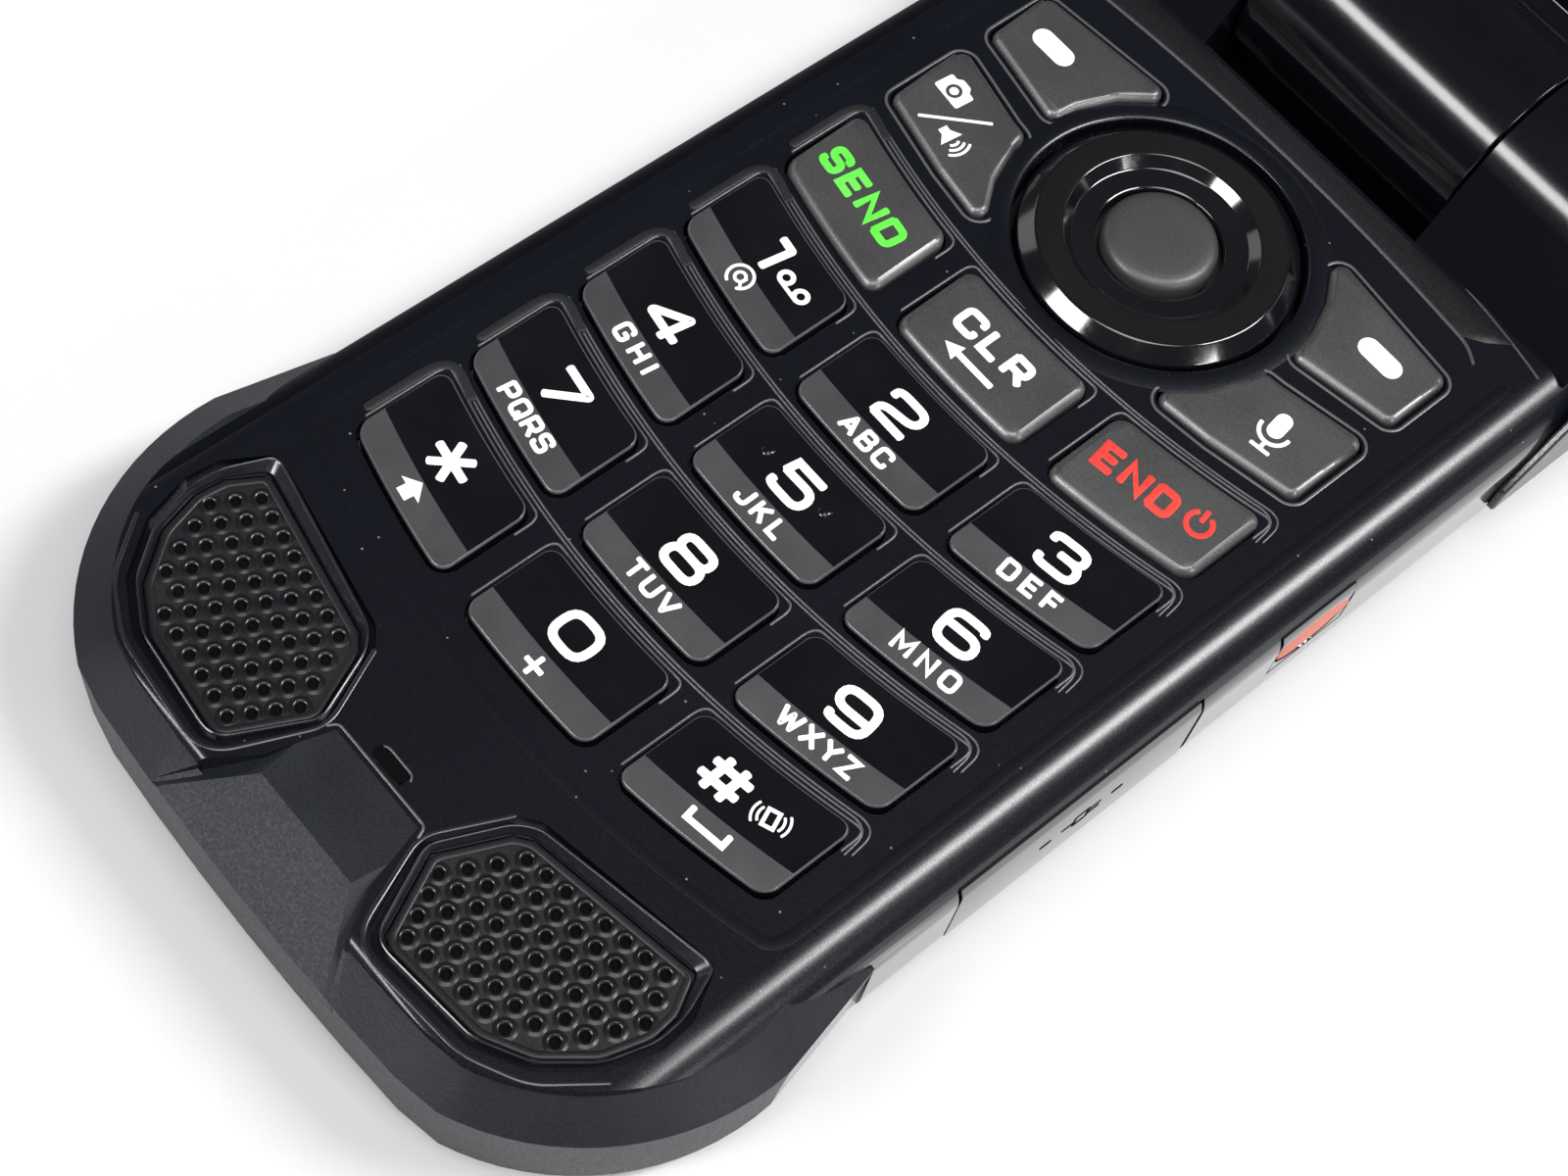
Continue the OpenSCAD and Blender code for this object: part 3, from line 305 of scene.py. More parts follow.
def filleted(points, radius, closed=False, steps=5):
    """The path with its corners rounded, from radius before each to radius after it."""
    points = [Vector(point) for point in points]
    count = len(points)
    path = []
    for i, corner in enumerate(points):
        if not closed and i in (0, count - 1) or not radius:
            path.append(corner)
            continue
        back = points[i - 1] - corner
        ahead = points[(i + 1) % count] - corner
        start = corner + back * min(radius / back.length, 0.5)
        end = corner + ahead * min(radius / ahead.length, 0.5)
        for k in range(steps + 1):
            t = k / steps
            path.append(start * (1 - t) ** 2 + corner * (2 * t * (1 - t)) + end * t * t)
    return path


def join_strips(form, rows):
    """Adds the faces between rows of points that lie side by side."""
    for one, two in zip(rows, rows[1:]):
        for k in range(len(one) - 1):
            form.faces.new((one[k], two[k], two[k + 1], one[k + 1]))


def add_line(form, path, width, height, lift, closed=False, cap=0.5, crown=True, sink=0.05):
    """Adds a raised line of that width and height along a path; lift gives the surface under it."""
    path = [Vector(point) for point in path]
    path = [p for i, p in enumerate(path) if i == 0 or (p - path[i - 1]).length > 1e-4]
    if closed and (path[0] - path[-1]).length < 1e-4:
        path.pop()
    count = len(path)
    stations = []
    for i, point in enumerate(path):
        before = point - path[i - 1] if closed or i > 0 else path[1] - point
        after = path[(i + 1) % count] - point if closed or i < count - 1 else before
        before, after = before.normalized(), after.normalized()
        along = (before + after).normalized() if (before + after).length > 0.1 else after
        side = Vector((-along.y, along.x))
        reach = 1 / max(0.55, side.dot(Vector((-before.y, before.x))))
        stations.append((point, side * reach, 1.0))
    if not closed:
        tips = [(math.sin(a) * cap * width, math.cos(a)) for a in (0.6, 1.1, 1.45)]
        first, last = stations[0], stations[-1]
        out = (path[0] - path[1]).normalized()
        on = (path[-1] - path[-2]).normalized()
        stations = ([(first[0] + out * run, first[1], w) for run, w in reversed(tips)] + stations
                    + [(last[0] + on * run, last[1], w) for run, w in tips])
    section = [(-0.5, -1), (-0.44, 0.6), (-0.26, 0.93), (0, 1), (0.26, 0.93), (0.44, 0.6), (0.5, -1)]
    if not crown:
        section = [(-0.5, -1), (-0.46, 0.8), (-0.38, 1), (0.38, 1), (0.46, 0.8), (0.5, -1)]
    rings = []
    for point, side, scale in stations:
        ring = []
        for across, up in section:
            spot = point + side * across * width * scale
            rise = height * up if up > 0 else -sink
            ring.append(form.verts.new(Vector((spot.x, spot.y, lift(spot.x, spot.y) + rise)) * MM))
        rings.append(ring)
    join_strips(form, rings + rings[:1] if closed else rings)
    if not closed:
        form.faces.new(rings[0])
        form.faces.new(list(reversed(rings[-1])))


def as_mesh(form, name, crease=40):
    bmesh.ops.recalc_face_normals(form, faces=form.faces)
    shade(form, crease)
    mesh = bpy.data.meshes.new(name)
    form.to_mesh(mesh)
    form.free()
    return mesh


def fit_form(form, name, body, slot, material, *instead, crease=40):
    """Puts a drawn form into the phone as the piece of that name."""
    return fit(as_mesh(form, name, crease), name, body, slot, material, *instead)


def on_deck(x, y):
    return deck


def span(x0, x1, steps):
    return [x0 + (x1 - x0) * i / steps for i in range(steps + 1)]


column_edges = {-1: (-22.0, -9.35), 0: (-6.5, 6.5), 1: (9.35, 22.0)}
# Painted highlight: the moulded ridges take a light grey in place of the light they catch.
ridge_highlight = finish("deck_ridge_highlight", (0.085, 0.087, 0.093), (0.120, 0.122, 0.128), 0.30, grain=0.2, gloss=1.0)
lines = bmesh.new()
for row in range(1, 6):
    top_arc = row_0 + (row - 1) * row_pitch + key_h
    for k, gap in enumerate((0.85, 1.15)):
        reach = 21.6 + 0.35 * k
        run = [(x, smile(x, top_arc + gap)) for x in span(-reach, reach, 30)]
        turn_down = [(reach + 0.95, run[-1][1] - 0.5), (reach + 1.15, run[-1][1] - 2.4)]
        add_line(lines, filleted(run + turn_down, 0.9), 0.17, 0.10, on_deck)
    for column, (x0, x1) in column_edges.items():
        low, high = row_0 + (row - 1) * row_pitch, top_arc + 0.48
        left, right = x0 - 0.48, x1 + 0.42
        run = [(left, smile(left, low) + 1.2), (left, smile(left, high))]
        run += [(x, smile(x, high)) for x in span(x0 + 1.0, x1 - 1.0, 8)]
        run += [(right, smile(right, high)), (right, smile(right, high) - 2.2)]
        add_line(lines, filleted(run, 1.25), 0.20, 0.12, on_deck)
fit_form(lines, "key_lines", "base", "housing", ridge_highlight)

frame_line = bmesh.new()
panel_x, panel_top = 25.0, 36.0
foot = [(x, -39.7 + x * x / 165) for x in span(-panel_x, panel_x, 24)]
edging = filleted([(-panel_x, panel_top)] + foot + [(panel_x, panel_top)], 2.2)
add_line(frame_line, edging, 1.0, 0.06, on_deck)
fit_form(frame_line, "panel_line", "base", "housing", deck_black)

# ---------- Apron below the hinge ----------
# Above the keys the deck ends in a plain apron that runs up to the hinge slot. Its tint, a little
# lighter than the deck, is painted light. A soft raised line divides it from the keypad, and a
# second one marks the foot of the right knuckle; both are painted light grey as a highlight.

apron_painted_light = finish("apron_painted_light", (0.0075, 0.0078, 0.0088), (0.0105, 0.0108, 0.0120), 0.36, grain=0.2,
                     depth=0.002, gloss=0.5)
apron_top = nav_y + 16.2


def apron_foot(x):
    return nav_y + 13.9 - x * x / 400


apron = bmesh.new()
levels = [(0.0, -0.02), (0.12, 0.07), (0.6, 0.075), (0.94, 0.03), (1.0, -0.02)]
rows = []
for x in span(-21.5, 22.7, 30):
    low = apron_foot(x) + 0.12 + max(0.0, x - 20.3) * 1.3
    rows.append([apron.verts.new(Vector((x, low + (apron_top - low) * share, deck + rise)) * MM)
                 for share, rise in levels])
join_strips(apron, rows)
fit_form(apron, "hinge_apron", "base", "housing", apron_painted_light)
soft_ridges = bmesh.new()
divide = [(x, apron_foot(x)) for x in span(-21.5, 20.5, 24)] + [(21.9, apron_foot(21.9) - 0.7)]
add_line(soft_ridges, filleted(divide, 1.0), 0.30, 0.14, on_deck)
add_line(soft_ridges, [(x, 40.9 - (x - 11) ** 2 / 125) for x in span(11.8, 25.8, 10)], 0.20, 0.08, on_deck)
# The two soft lines are painted a dim grey, a painted highlight.
ridge_dim_highlight = finish("ridge_dim_highlight", (0.060, 0.061, 0.065), (0.080, 0.081, 0.085), 0.34, grain=0.2, gloss=0.8)
fit_form(soft_ridges, "soft_ridges", "base", "housing", ridge_dim_highlight)

# ---------- Keypad surrounds ----------
# On the left of each outer key the deck rises in a step, about a millimetre wide, that the light
# catches. It is moulded with the deck, and its soft grey is a painted highlight.

step_painted_highlight = finish("step_painted_highlight", (0.014, 0.0145, 0.016), (0.021, 0.0215, 0.023), 0.42, grain=0.2, gloss=0.5)
steps = bmesh.new()
for row in range(5):
    low = row_0 + row * row_pitch
    x = column_edges[-1][0] - 0.95
    corner = smile(x, low + key_h)
    over = x + 3.6
    rise = [(x, smile(x, low) + 1.6), (x, corner - 0.4), (x + 1.0, corner + 0.75),
            (over, smile(over, low + key_h) + 0.80)]
    add_line(steps, filleted(rise, 1.2), 0.75, 0.16, on_deck, crown=False)
fit_form(steps, "key_steps", "base", "housing", step_painted_highlight)

# ---------- Loudspeakers ----------
# Two stamped grilles lie in dished recesses at the bottom end, over the loudspeakers. Each sound
# hole has a small rolled rim, and the recess has a polished bevel round it.

grille_black = finish("grille_black", (0.0070, 0.0075, 0.0090), (0.0130, 0.0136, 0.0155), 0.38, grain=0.15,
                      depth=0.004, gloss=0.6)
gauze_black = finish("gauze_black", (0.0015, 0.0015, 0.0018), (0.003, 0.003, 0.0035), 0.9, grain=0.12,
                     depth=0.02, gloss=0.1)
bevel_black = finish("bevel_black", (0.013, 0.0145, 0.020), (0.019, 0.0205, 0.027), 0.24, gloss=0.9)
rim_black = finish("rim_black", (0.0075, 0.008, 0.0095), (0.0115, 0.012, 0.0135), 0.24, grain=0.4,
                   gloss=0.45)


def top_loops(node):
    """The closed outlines of a node's top face, each a list of (x, y) points, longest first."""
    form = welded(node)
    height = max(vertex.co.z for vertex in form.verts)
    tops = {face for face in form.faces
            if face.normal.z > 0.99 and face.calc_center_median().z > height - 0.01 * MM}
    after = {}
    for face in tops:
        for loop in face.loops:
            if sum(neighbour in tops for neighbour in loop.edge.link_faces) == 1:
                after[loop.vert] = loop.link_loop_next.vert
    outlines = []
    while after:
        start = next(iter(after))
        walk = []
        here = start
        while here in after:
            walk.append(Vector(here.co.xy) / MM)
            here = after.pop(here)
        outlines.append(walk)
    form.free()
    return sorted(outlines, key=lambda walk: -sum((a - b).length for a, b in zip(walk, walk[1:])))


def grown(outline, distance):
    """The outline moved outward by a distance (it runs anticlockwise)."""
    moved = []
    for i, point in enumerate(outline):
        before = (point - outline[i - 1]).normalized()
        after = (outline[(i + 1) % len(outline)] - point).normalized()
        out = Vector((before.y, -before.x)) + Vector((after.y, -after.x))
        out.normalize()
        moved.append(point + out * distance / max(0.5, out.dot(Vector((before.y, -before.x)))))
    return moved


def anticlockwise(outline):
    area = sum(a.x * b.y - b.x * a.y for a, b in zip(outline, outline[1:] + outline[:1]))
    return outline if area > 0 else list(reversed(outline))


def join_rings(form, rings):
    """Adds the faces between closed rings of points, from each ring to the next."""
    for one, two in zip(rings, rings[1:]):
        for i in range(len(one)):
            j = (i + 1) % len(one)
            form.faces.new((one[i], one[j], two[j], two[i]))


def add_bands(form, loops):
    """Adds the bands between rings of points, given as (outline, height)."""
    rings = [[form.verts.new(Vector((p.x, p.y, z)) * MM) for p in outline] for outline, z in loops]
    join_rings(form, rings)
    return rings


def add_sheet(form, points, height):
    """Adds one flat face at a height."""
    form.faces.new([form.verts.new(Vector((x, y, height)) * MM) for x, y in points])


def circle(x, y, radius, steps=20):
    """Points round a circle, anticlockwise from its right."""
    angles = [math.tau * k / steps for k in range(steps)]
    return [Vector((x + radius * math.cos(a), y + radius * math.sin(a))) for a in angles]


moulded("speaker_grilles", 0, grille_black, "grille", crease=35)
grille_low, grille_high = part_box("speaker_grilles")
grille_top = grille_high[2] / MM
edge_x, edge_y = grille_high[0] / MM, grille_low[1] / MM
tongue_x = 4.4
plate = [
    (edge_x - 0.2, edge_y + 11.6), (edge_x - 1.7, edge_y + 14.3), (tongue_x + 5.1, edge_y + 11.9),
    (tongue_x + 3.9, edge_y + 11), (tongue_x + 1.7, edge_y + 6), (tongue_x + 4.4, edge_y + 0.4),
    (tongue_x + 5.2, edge_y), (edge_x - 7, edge_y + 0.8), (edge_x - 3.6, edge_y + 2.7),
    (edge_x - 1, edge_y + 6), (edge_x, edge_y + 9.4)]
crest_reach = [1.0, 0.75, 1.1, 1.0, 1.1, 1.5, 1.6, 1.75, 1.9, 1.8, 1.3]
slope_reach = [0.42, 0.95, 0.55, 0.42, 0.38, 0.36, 0.36, 0.36, 0.36, 0.36, 0.36]
hole_r = 0.42
hole_first = Vector((edge_x - 2.85, edge_y + 12.8))
hole_step, hole_row, hole_fan = Vector((-1.66, -0.30)), Vector((0.86, -1.53)), Vector((-0.01, 0.013))
hole_spans = [(0, 7), (0, 8), (0, 9), (1, 10), (2, 10), (3, 10), (5, 10)]
holes = [hole_first + hole_row * row + (hole_step + hole_fan * row) * i
         for row, (start, end) in enumerate(hole_spans) for i in range(start, end + 1)]


def crest_path(outline, reaches):
    """The outline with each corner moved out by its own reach."""
    return [grown(outline, reach)[i] for i, reach in enumerate(reaches)]


def on_grille(x, y):
    return grille_top


bevels, plate_edges, rims, gauze_and_shade = bmesh.new(), bmesh.new(), bmesh.new(), bmesh.new()
slope_foot = 0.2
lip = [(1.0, 0.0), (0.93, -0.02), (0.84, -0.08), (0.0, -0.55)]
hole_profile = [(-0.03, -0.25), (-0.01, -0.01), (0.01, 0.0), (0.10, 0.075), (0.14, 0.082), (0.20, 0.072),
                (0.46, -0.01)]
for side in (-1, 1):
    corners = [Vector((side * x, y)) for x, y in plate]
    outline = anticlockwise(corners)
    order = 1 if outline is corners else -1
    slopes = slope_reach[::order]
    levels = [([reach + 0.14 for reach in slopes], -0.03), ([reach + 0.06 for reach in slopes], 0.015)]
    levels += [([slope_foot + (reach - slope_foot) * share for reach in slopes], height)
               for share, height in lip]
    levels.append(([slope_foot - 0.02] * len(plate), grille_top - deck + 0.02))
    add_bands(bevels, [
        (filleted(crest_path(outline, reaches), 0.4 + min(reaches), closed=True), deck + height)
        for reaches, height in levels])
    crest = crest_path(outline, crest_reach[::order])
    crest = crest[3:-1] if order > 0 else crest[1:-3]
    add_line(bevels, filleted(crest, 1.3), 0.34, 0.10, on_deck)
    plate_edge = filleted(grown(outline, -0.30), 0.5, closed=True)
    add_line(plate_edges, plate_edge, 0.6, 0.11, on_grille, closed=True)
    for hole in holes:
        add_bands(rims, [(circle(side * hole.x, hole.y, hole_r + wider), grille_top + z)
                         for wider, z in hole_profile])
        # A near-black dust cloth under each hole, which also paints the shade inside it.
        add_sheet(gauze_and_shade, circle(side * hole.x, hole.y, hole_r), grille_top - 0.28)
fit_form(bevels, "recess_bevels", "base", "housing", bevel_black, crease=34)
fit_form(plate_edges, "plate_edges", "base", "grille", grille_black, crease=60)
fit_form(rims, "hole_rims", "base", "grille", rim_black, crease=60)
fit_form(gauze_and_shade, "speaker_gauze_and_shade", "base", "grille", gauze_black)

# ---------- Bumper ----------
# Slate-grey rubber is moulded over the bottom end of the housings, with a tongue that reaches up
# between the loudspeakers. Its skin is matt, with a fine leathery grain.

bumper_rubber = finish("bumper_rubber", (0.0098, 0.0115, 0.0158), (0.0160, 0.0182, 0.0238), 0.46, grain=0.22,
                       depth=0.018, gloss=0.35, drift=6)
bumper_wall_painted_light = finish("bumper_wall_painted_light", (0.020, 0.021, 0.024), (0.028, 0.029, 0.032), 0.30, grain=0.3, gloss=0.8,
                     coat=0.6)
bumper = moulded("bottom_bumper", 0.35, bumper_rubber, "bumper", crease=17, steps=3)
# The upright faces on the right side take a lighter, glossy copy of the rubber: painted light.
dressed(bumper, bumper_wall_painted_light, lambda normal, at: abs(normal.z) < 0.12 and at.x > wall_x_from and at.z < 6)
moulded("lid_bumper", 0.25, bumper_rubber, "bumper", crease=25)
# The seam and groove lines on the tongue are painted light grey, a painted highlight.
seam = bmesh.new()
tongue_top = nav_y - 72.7
seam_y = tongue_top + 0.34
groove_y = seam_y + 1.55
edge = [(-4.95, seam_y - 0.7), (-4.6, seam_y), (4.6, seam_y), (4.95, seam_y - 0.8)]
add_line(seam, filleted(edge, 0.4), 0.20, 0.09, on_deck)
groove = [(-1.5, seam_y + 1.38), (-1.2, groove_y), (1.2, groove_y), (1.5, seam_y + 1.2)]
add_line(seam, filleted(groove, 0.3), 0.17, 0.09, on_deck)
fit_form(seam, "tongue_seam", "base", "housing", ridge_highlight)


def arc_path(x, y, radius, start, end, steps=12):
    """Points along an arc between two angles in degrees."""
    return [(x + radius * math.cos(math.radians(a)), y + radius * math.sin(math.radians(a)))
            for a in span(start, end, steps)]


# The microphone hole is a flat near-black sheet laid on the tongue: painted shade.
mouth_shade = bmesh.new()
mouth_left, mouth_right, mouth_y, mouth_r = -1.85, 1.3, tongue_top + 1.25, 0.55
mouth_outline = (arc_path(mouth_right - mouth_r, mouth_y, mouth_r, -90, 90, 8)
                 + arc_path(mouth_left + mouth_r, mouth_y, mouth_r, 90, 270, 8))
add_sheet(mouth_shade, mouth_outline, deck + 0.012)
fit_form(mouth_shade, "microphone_mouth_shade", "base", "grille", gauze_black)

# ---------- Number keys ----------
# Hard caps in glossy black on the rubber membrane. The lower quarter of each slopes away and is
# left satin grey, and the round along its edge is painted light grey as a highlight.

cap_black = finish("cap_black", (0.0050, 0.0052, 0.0065), (0.0075, 0.0078, 0.0095), 0.13, grain=0.6,
                   gloss=0.45, drift=5)
cap_band = finish("cap_band", (0.046, 0.047, 0.050), (0.064, 0.065, 0.068), 0.45, grain=0.14,
                  depth=0.003, gloss=0.5, drift=4)
band_h = 2.5
band_drop = 0.085
corner_r = 1.15
hard_rim = [(0, -1.6), (0, -0.17), (0.025, -0.09), (0.075, -0.03), (0.14, 0)]
cap_rim_highlight = finish("cap_rim_highlight", (0.085, 0.086, 0.090), (0.120, 0.121, 0.125), 0.30, grain=0.2, gloss=0.9)
soft_rim = [(0, -1.6), (0, -0.60), (0.03, -0.44), (0.10, -0.31), (0.28, -0.15), (0.42, -0.055), (0.60, 0)]


def number_top(y0):
    """Height of a number key's top: flat, with the band sloping down to the lower edge."""
    def height(x, y):
        return key_top - band_drop * max(0.0, band_h - (y - smile(x, y0)))
    return height


def ring_on(form, points, surface, rise):
    """A ring of points of the form that stand at a height over a surface."""
    return [form.verts.new(Vector((p.x, p.y, surface(p.x, p.y) + rise)) * MM) for p in points]


def row_key(column, row, top, name, material, lower, rim):
    """A cap between two curves: rounded edge, and a top laid in strips across the key."""
    x0, x1 = column_edges[column]
    y0 = row_0 + row * row_pitch
    form = bmesh.new()

    def border(inset):
        radius = corner_r - inset
        left, right = x0 + inset, x1 - inset
        turns = [radius * (1 - math.cos(math.radians(a))) for a in range(0, 91, 15)]
        xs = ([left + t for t in turns] + span(left + radius, right - radius, 12)[1:-1]
              + [right - t for t in reversed(turns)])
        lows, highs = [], []
        for x in xs:
            near = min(x - left, right - x)
            cut = radius - math.sqrt(max(0, radius ** 2 - (radius - near) ** 2)) if near < radius else 0
            lows.append(Vector((x, smile(x, y0) + inset + cut)))
            highs.append(Vector((x, smile(x, y0 + key_h) - inset - cut)))
        return lows, highs

    rings = []
    for inset, drop in rim[:-1]:
        lows, highs = border(inset)
        rings.append(ring_on(form, lows + highs[::-1], top, drop))
    lows, highs = border(rim[-1][0])
    columns = []
    for low, high in zip(lows, highs):
        crease = smile(low.x, y0) + band_h
        ys = [low.y, (low.y + crease) / 2, crease] + span(crease, high.y, 4)[1:]
        columns.append([form.verts.new(Vector((low.x, y, top(low.x, y))) * MM) for y in ys])
    rings.append([column[0] for column in columns] + [column[-1] for column in columns[::-1]])
    join_rings(form, rings)
    join_strips(form, columns)
    outer, count = rings[-2], len(columns)
    left_end, right_end = (outer[0], outer[-1]), (outer[count - 1], outer[count])
    for strip, ends in ((columns[0], left_end), (columns[-1], right_end)):
        wall = [face for face in form.faces if set(ends + (strip[0], strip[-1])) == set(face.verts)]
        bmesh.ops.delete(form, geom=wall, context="FACES_ONLY")
        form.faces.new([*ends, strip[-1], *strip[-2:0:-1], strip[0]])
    bmesh.ops.recalc_face_normals(form, faces=form.faces)
    shade(form, 50)
    for face in form.faces:
        middle = face.calc_center_median() / MM
        in_band = middle.y - smile(middle.x, y0) < band_h
        face.material_index = 1 if lower and in_band else 0
        # The sloping faces of the rounded edge take the painted highlight.
        if lower and face.normal.z < 0.97:
            face.material_index = 2 if face.normal.z > 0.12 else 0
    if lower:
        for edge in form.edges:
            kinds = {face.material_index for face in edge.link_faces}
            edge.smooth = edge.smooth and len(kinds) < 2
    mesh = bpy.data.meshes.new(name)
    form.to_mesh(mesh)
    form.free()
    mesh.materials.append(material)
    if lower:
        mesh.materials.append(lower)
        mesh.materials.append(cap_rim_highlight)
    return mesh


key_rows = (("star", "0", "hash"), "789", "456", "123")
number_keys = {"key_" + name: (column, row) for row, names in enumerate(key_rows)
               for column, name in zip((-1, 0, 1), names)}
tops = {}
for node, (column, row) in number_keys.items():
    tops[node] = number_top(row_0 + row * row_pitch)
    mesh = row_key(column, row, tops[node], node + "_cap", cap_black, cap_band, hard_rim)
    cap = fit(mesh, node + "_cap", node, "number_key", None, node)
    even_shading(cap)

pips = bmesh.new()
pip_profile = [(0.55, -0.02), (0.46, 0.05), (0.34, 0.12), (0.18, 0.16), (0.05, 0.17)]
for x in (-3.45, 2.69):
    y = smile(x, row_0 + 2 * row_pitch) + 5.15
    rings = add_bands(pips, [(circle(x, y, radius), key_top + z) for radius, z in pip_profile])
    pips.faces.new(rings[-1])
fit_form(pips, "finding_pips", "key_5", "number_key", cap_black, crease=60)

# ---------- Call keys ----------
# The keys above the numbers are lacquered a satin gunmetal. Their tops roll down to the lower
# edge, so they lighten there, and their rims are painted a lighter grey as a highlight.

cap_grey = finish("cap_grey", (0.088, 0.088, 0.089), (0.118, 0.118, 0.119), 0.44, grain=0.16,
                  depth=0.002, gloss=0.8, drift=5, metal=0.6)
rim_grey_highlight = finish("rim_grey_highlight", (0.17, 0.17, 0.172), (0.22, 0.22, 0.222), 0.36, grain=0.16, gloss=1.0, drift=5,
                  metal=0.7)


# Faces of a cap's rounded edge, which take the painted highlight.
def on_rim(normal, at):
    return 0.15 < normal.z < 0.93


def rolled_top(y0):
    def height(x, y):
        near = max(0.0, key_h - (y - smile(x, y0))) / key_h
        return key_top - 0.48 * near ** 2.2
    return height


for node, column in {"send_key": -1, "clear_key": 0, "end_key": 1}.items():
    tops[node] = rolled_top(row_0 + 4 * row_pitch)
    mesh = row_key(column, 4, tops[node], node + "_cap", cap_grey, None, soft_rim)
    cap = fit(mesh, node + "_cap", node, "function_key", None, node)
    dressed(cap, rim_grey_highlight, on_rim)
    even_shading(cap)

# ---------- Keys round the navigation ring ----------
# Two soft keys and two shortcut keys are cut round the ring. They are the same gunmetal caps as
# the call keys, with a hollow side that follows the ring.


def rolled_down(low, high):
    """Height of a cap that is level along its upper side and rolls down to its lower one."""
    def height(x, y):
        return key_top - 0.42 * (max(0.0, high - y) / (high - low)) ** 2
    return height


# Round each of these keys runs a raised line painted light grey, a painted highlight.
pockets = bmesh.new()
for node in ("soft_key_left", "soft_key_right", "speaker_key", "voice_key"):
    outline = anticlockwise(top_loops(node)[0])
    low, high = min(p.y for p in outline), max(p.y for p in outline)
    top = tops[node] = rolled_down(low, high)
    form = bmesh.new()
    rings = [ring_on(form, grown(outline, -inset), top, drop) for inset, drop in soft_rim]
    join_rings(form, rings)
    form.faces.new(rings[-1])
    crown_points = set(rings[-1])
    for cut in span(low, high, 9)[1:-1]:
        crown = [face for face in form.faces if len(face.verts) > 4 or set(face.verts) <= crown_points]
        parts = set(crown) | {edge for face in crown for edge in face.edges}
        parts |= {vertex for face in crown for vertex in face.verts}
        made = bmesh.ops.bisect_plane(form, geom=list(parts), plane_co=(0, cut * MM, 0), plane_no=(0, 1, 0))
        crown_points |= {part for part in made["geom_cut"] if isinstance(part, bmesh.types.BMVert)}
    edge = {vertex for ring in rings for vertex in ring}
    for vertex in form.verts:
        if vertex not in edge:
            vertex.co.z = top(vertex.co.x / MM, vertex.co.y / MM) * MM
    cap = fit_form(form, node + "_cap", node, "function_key", cap_grey, node, crease=50)
    dressed(cap, rim_grey_highlight, on_rim)
    even_shading(cap)
    add_line(pockets, grown(outline, 0.55), 0.24, 0.07, on_deck, closed=True)
fit_form(pockets, "key_pockets", "base", "housing", ridge_highlight)

# ---------- Navigation ring and OK button ----------
# A turned-looking ring in glossy black rocks on four domes round a satin OK button. It stands in
# a round well whose lip is raised a little above the deck.

ring_black = finish("ring_black", (0.0045, 0.0048, 0.0062), (0.0065, 0.0068, 0.0085), 0.11, grain=0.5,
                    gloss=0.9, coat=0.4)
ring_satin = finish("ring_satin", (0.0082, 0.0080, 0.0079), (0.0110, 0.0107, 0.0105), 0.22, grain=0.3,
                    gloss=0.6)
ok_grey = finish("ok_grey", (0.088, 0.087, 0.086), (0.114, 0.113, 0.112), 0.44, grain=0.16, depth=0.002,
                 gloss=0.8, metal=0.6)


def turned(profile, steps=128):
    """A form turned about the axis of the navigation ring, from (radius, height) points."""
    form = bmesh.new()
    rings = add_bands(form, [(circle(0, nav_y, radius, steps), z) for radius, z in profile if radius > 0])
    if profile[0][0] == 0:
        tip = form.verts.new(Vector((0, nav_y, profile[0][1])) * MM)
        for i in range(steps):
            form.faces.new((rings[0][i], rings[0][(i + 1) % steps], tip))
    return form


ring_profile = [
    (5.0, 11.6), (5.0, 12.60), (5.1, 12.74), (5.35, 12.78), (6.45, 12.80), (6.72, 12.84), (6.85, 12.90),
    (6.88, 12.9275), (7.57, 13.5595), (7.60, 13.587), (7.69, 13.625), (7.85, 13.64), (9.6, 13.63),
    (9.74, 13.60), (9.83, 13.54), (10.83, 12.71), (10.93, 12.60), (11.0, 12.44), (11.0, 10.4), (11.9, 10.4),
    (11.9, 10.0), (6.5, 10.0)]
ring = fit_form(turned(ring_profile), "nav_ring_cap", "nav_ring", "nav_ring", ring_black, "nav_ring",
                crease=60)
dressed(ring, ring_satin, lambda normal, at: normal.z > 0.99 and at.z > 13.6)
even_shading(ring)
ok_profile = [
    (0, 13.60), (2.0, 13.60), (3.2, 13.58), (3.8, 13.53), (4.05, 13.44), (4.3, 13.26), (4.42, 13.10),
    (4.5, 12.9), (4.5, 11.1), (5.6, 11.1), (5.6, 10.7)]
fit_form(turned(ok_profile), "ok_button_cap", "ok_button", "function_key", ok_grey, "ok_button", crease=60)
collar_profile = [
    (11.5, 11.9), (11.5, 12.72), (11.6, 12.84), (11.85, 12.93), (12.3, 12.94), (12.9, 12.88), (13.3, 12.78)]
fit_form(turned(collar_profile), "nav_collar", "base", "housing", deck_black, crease=60)
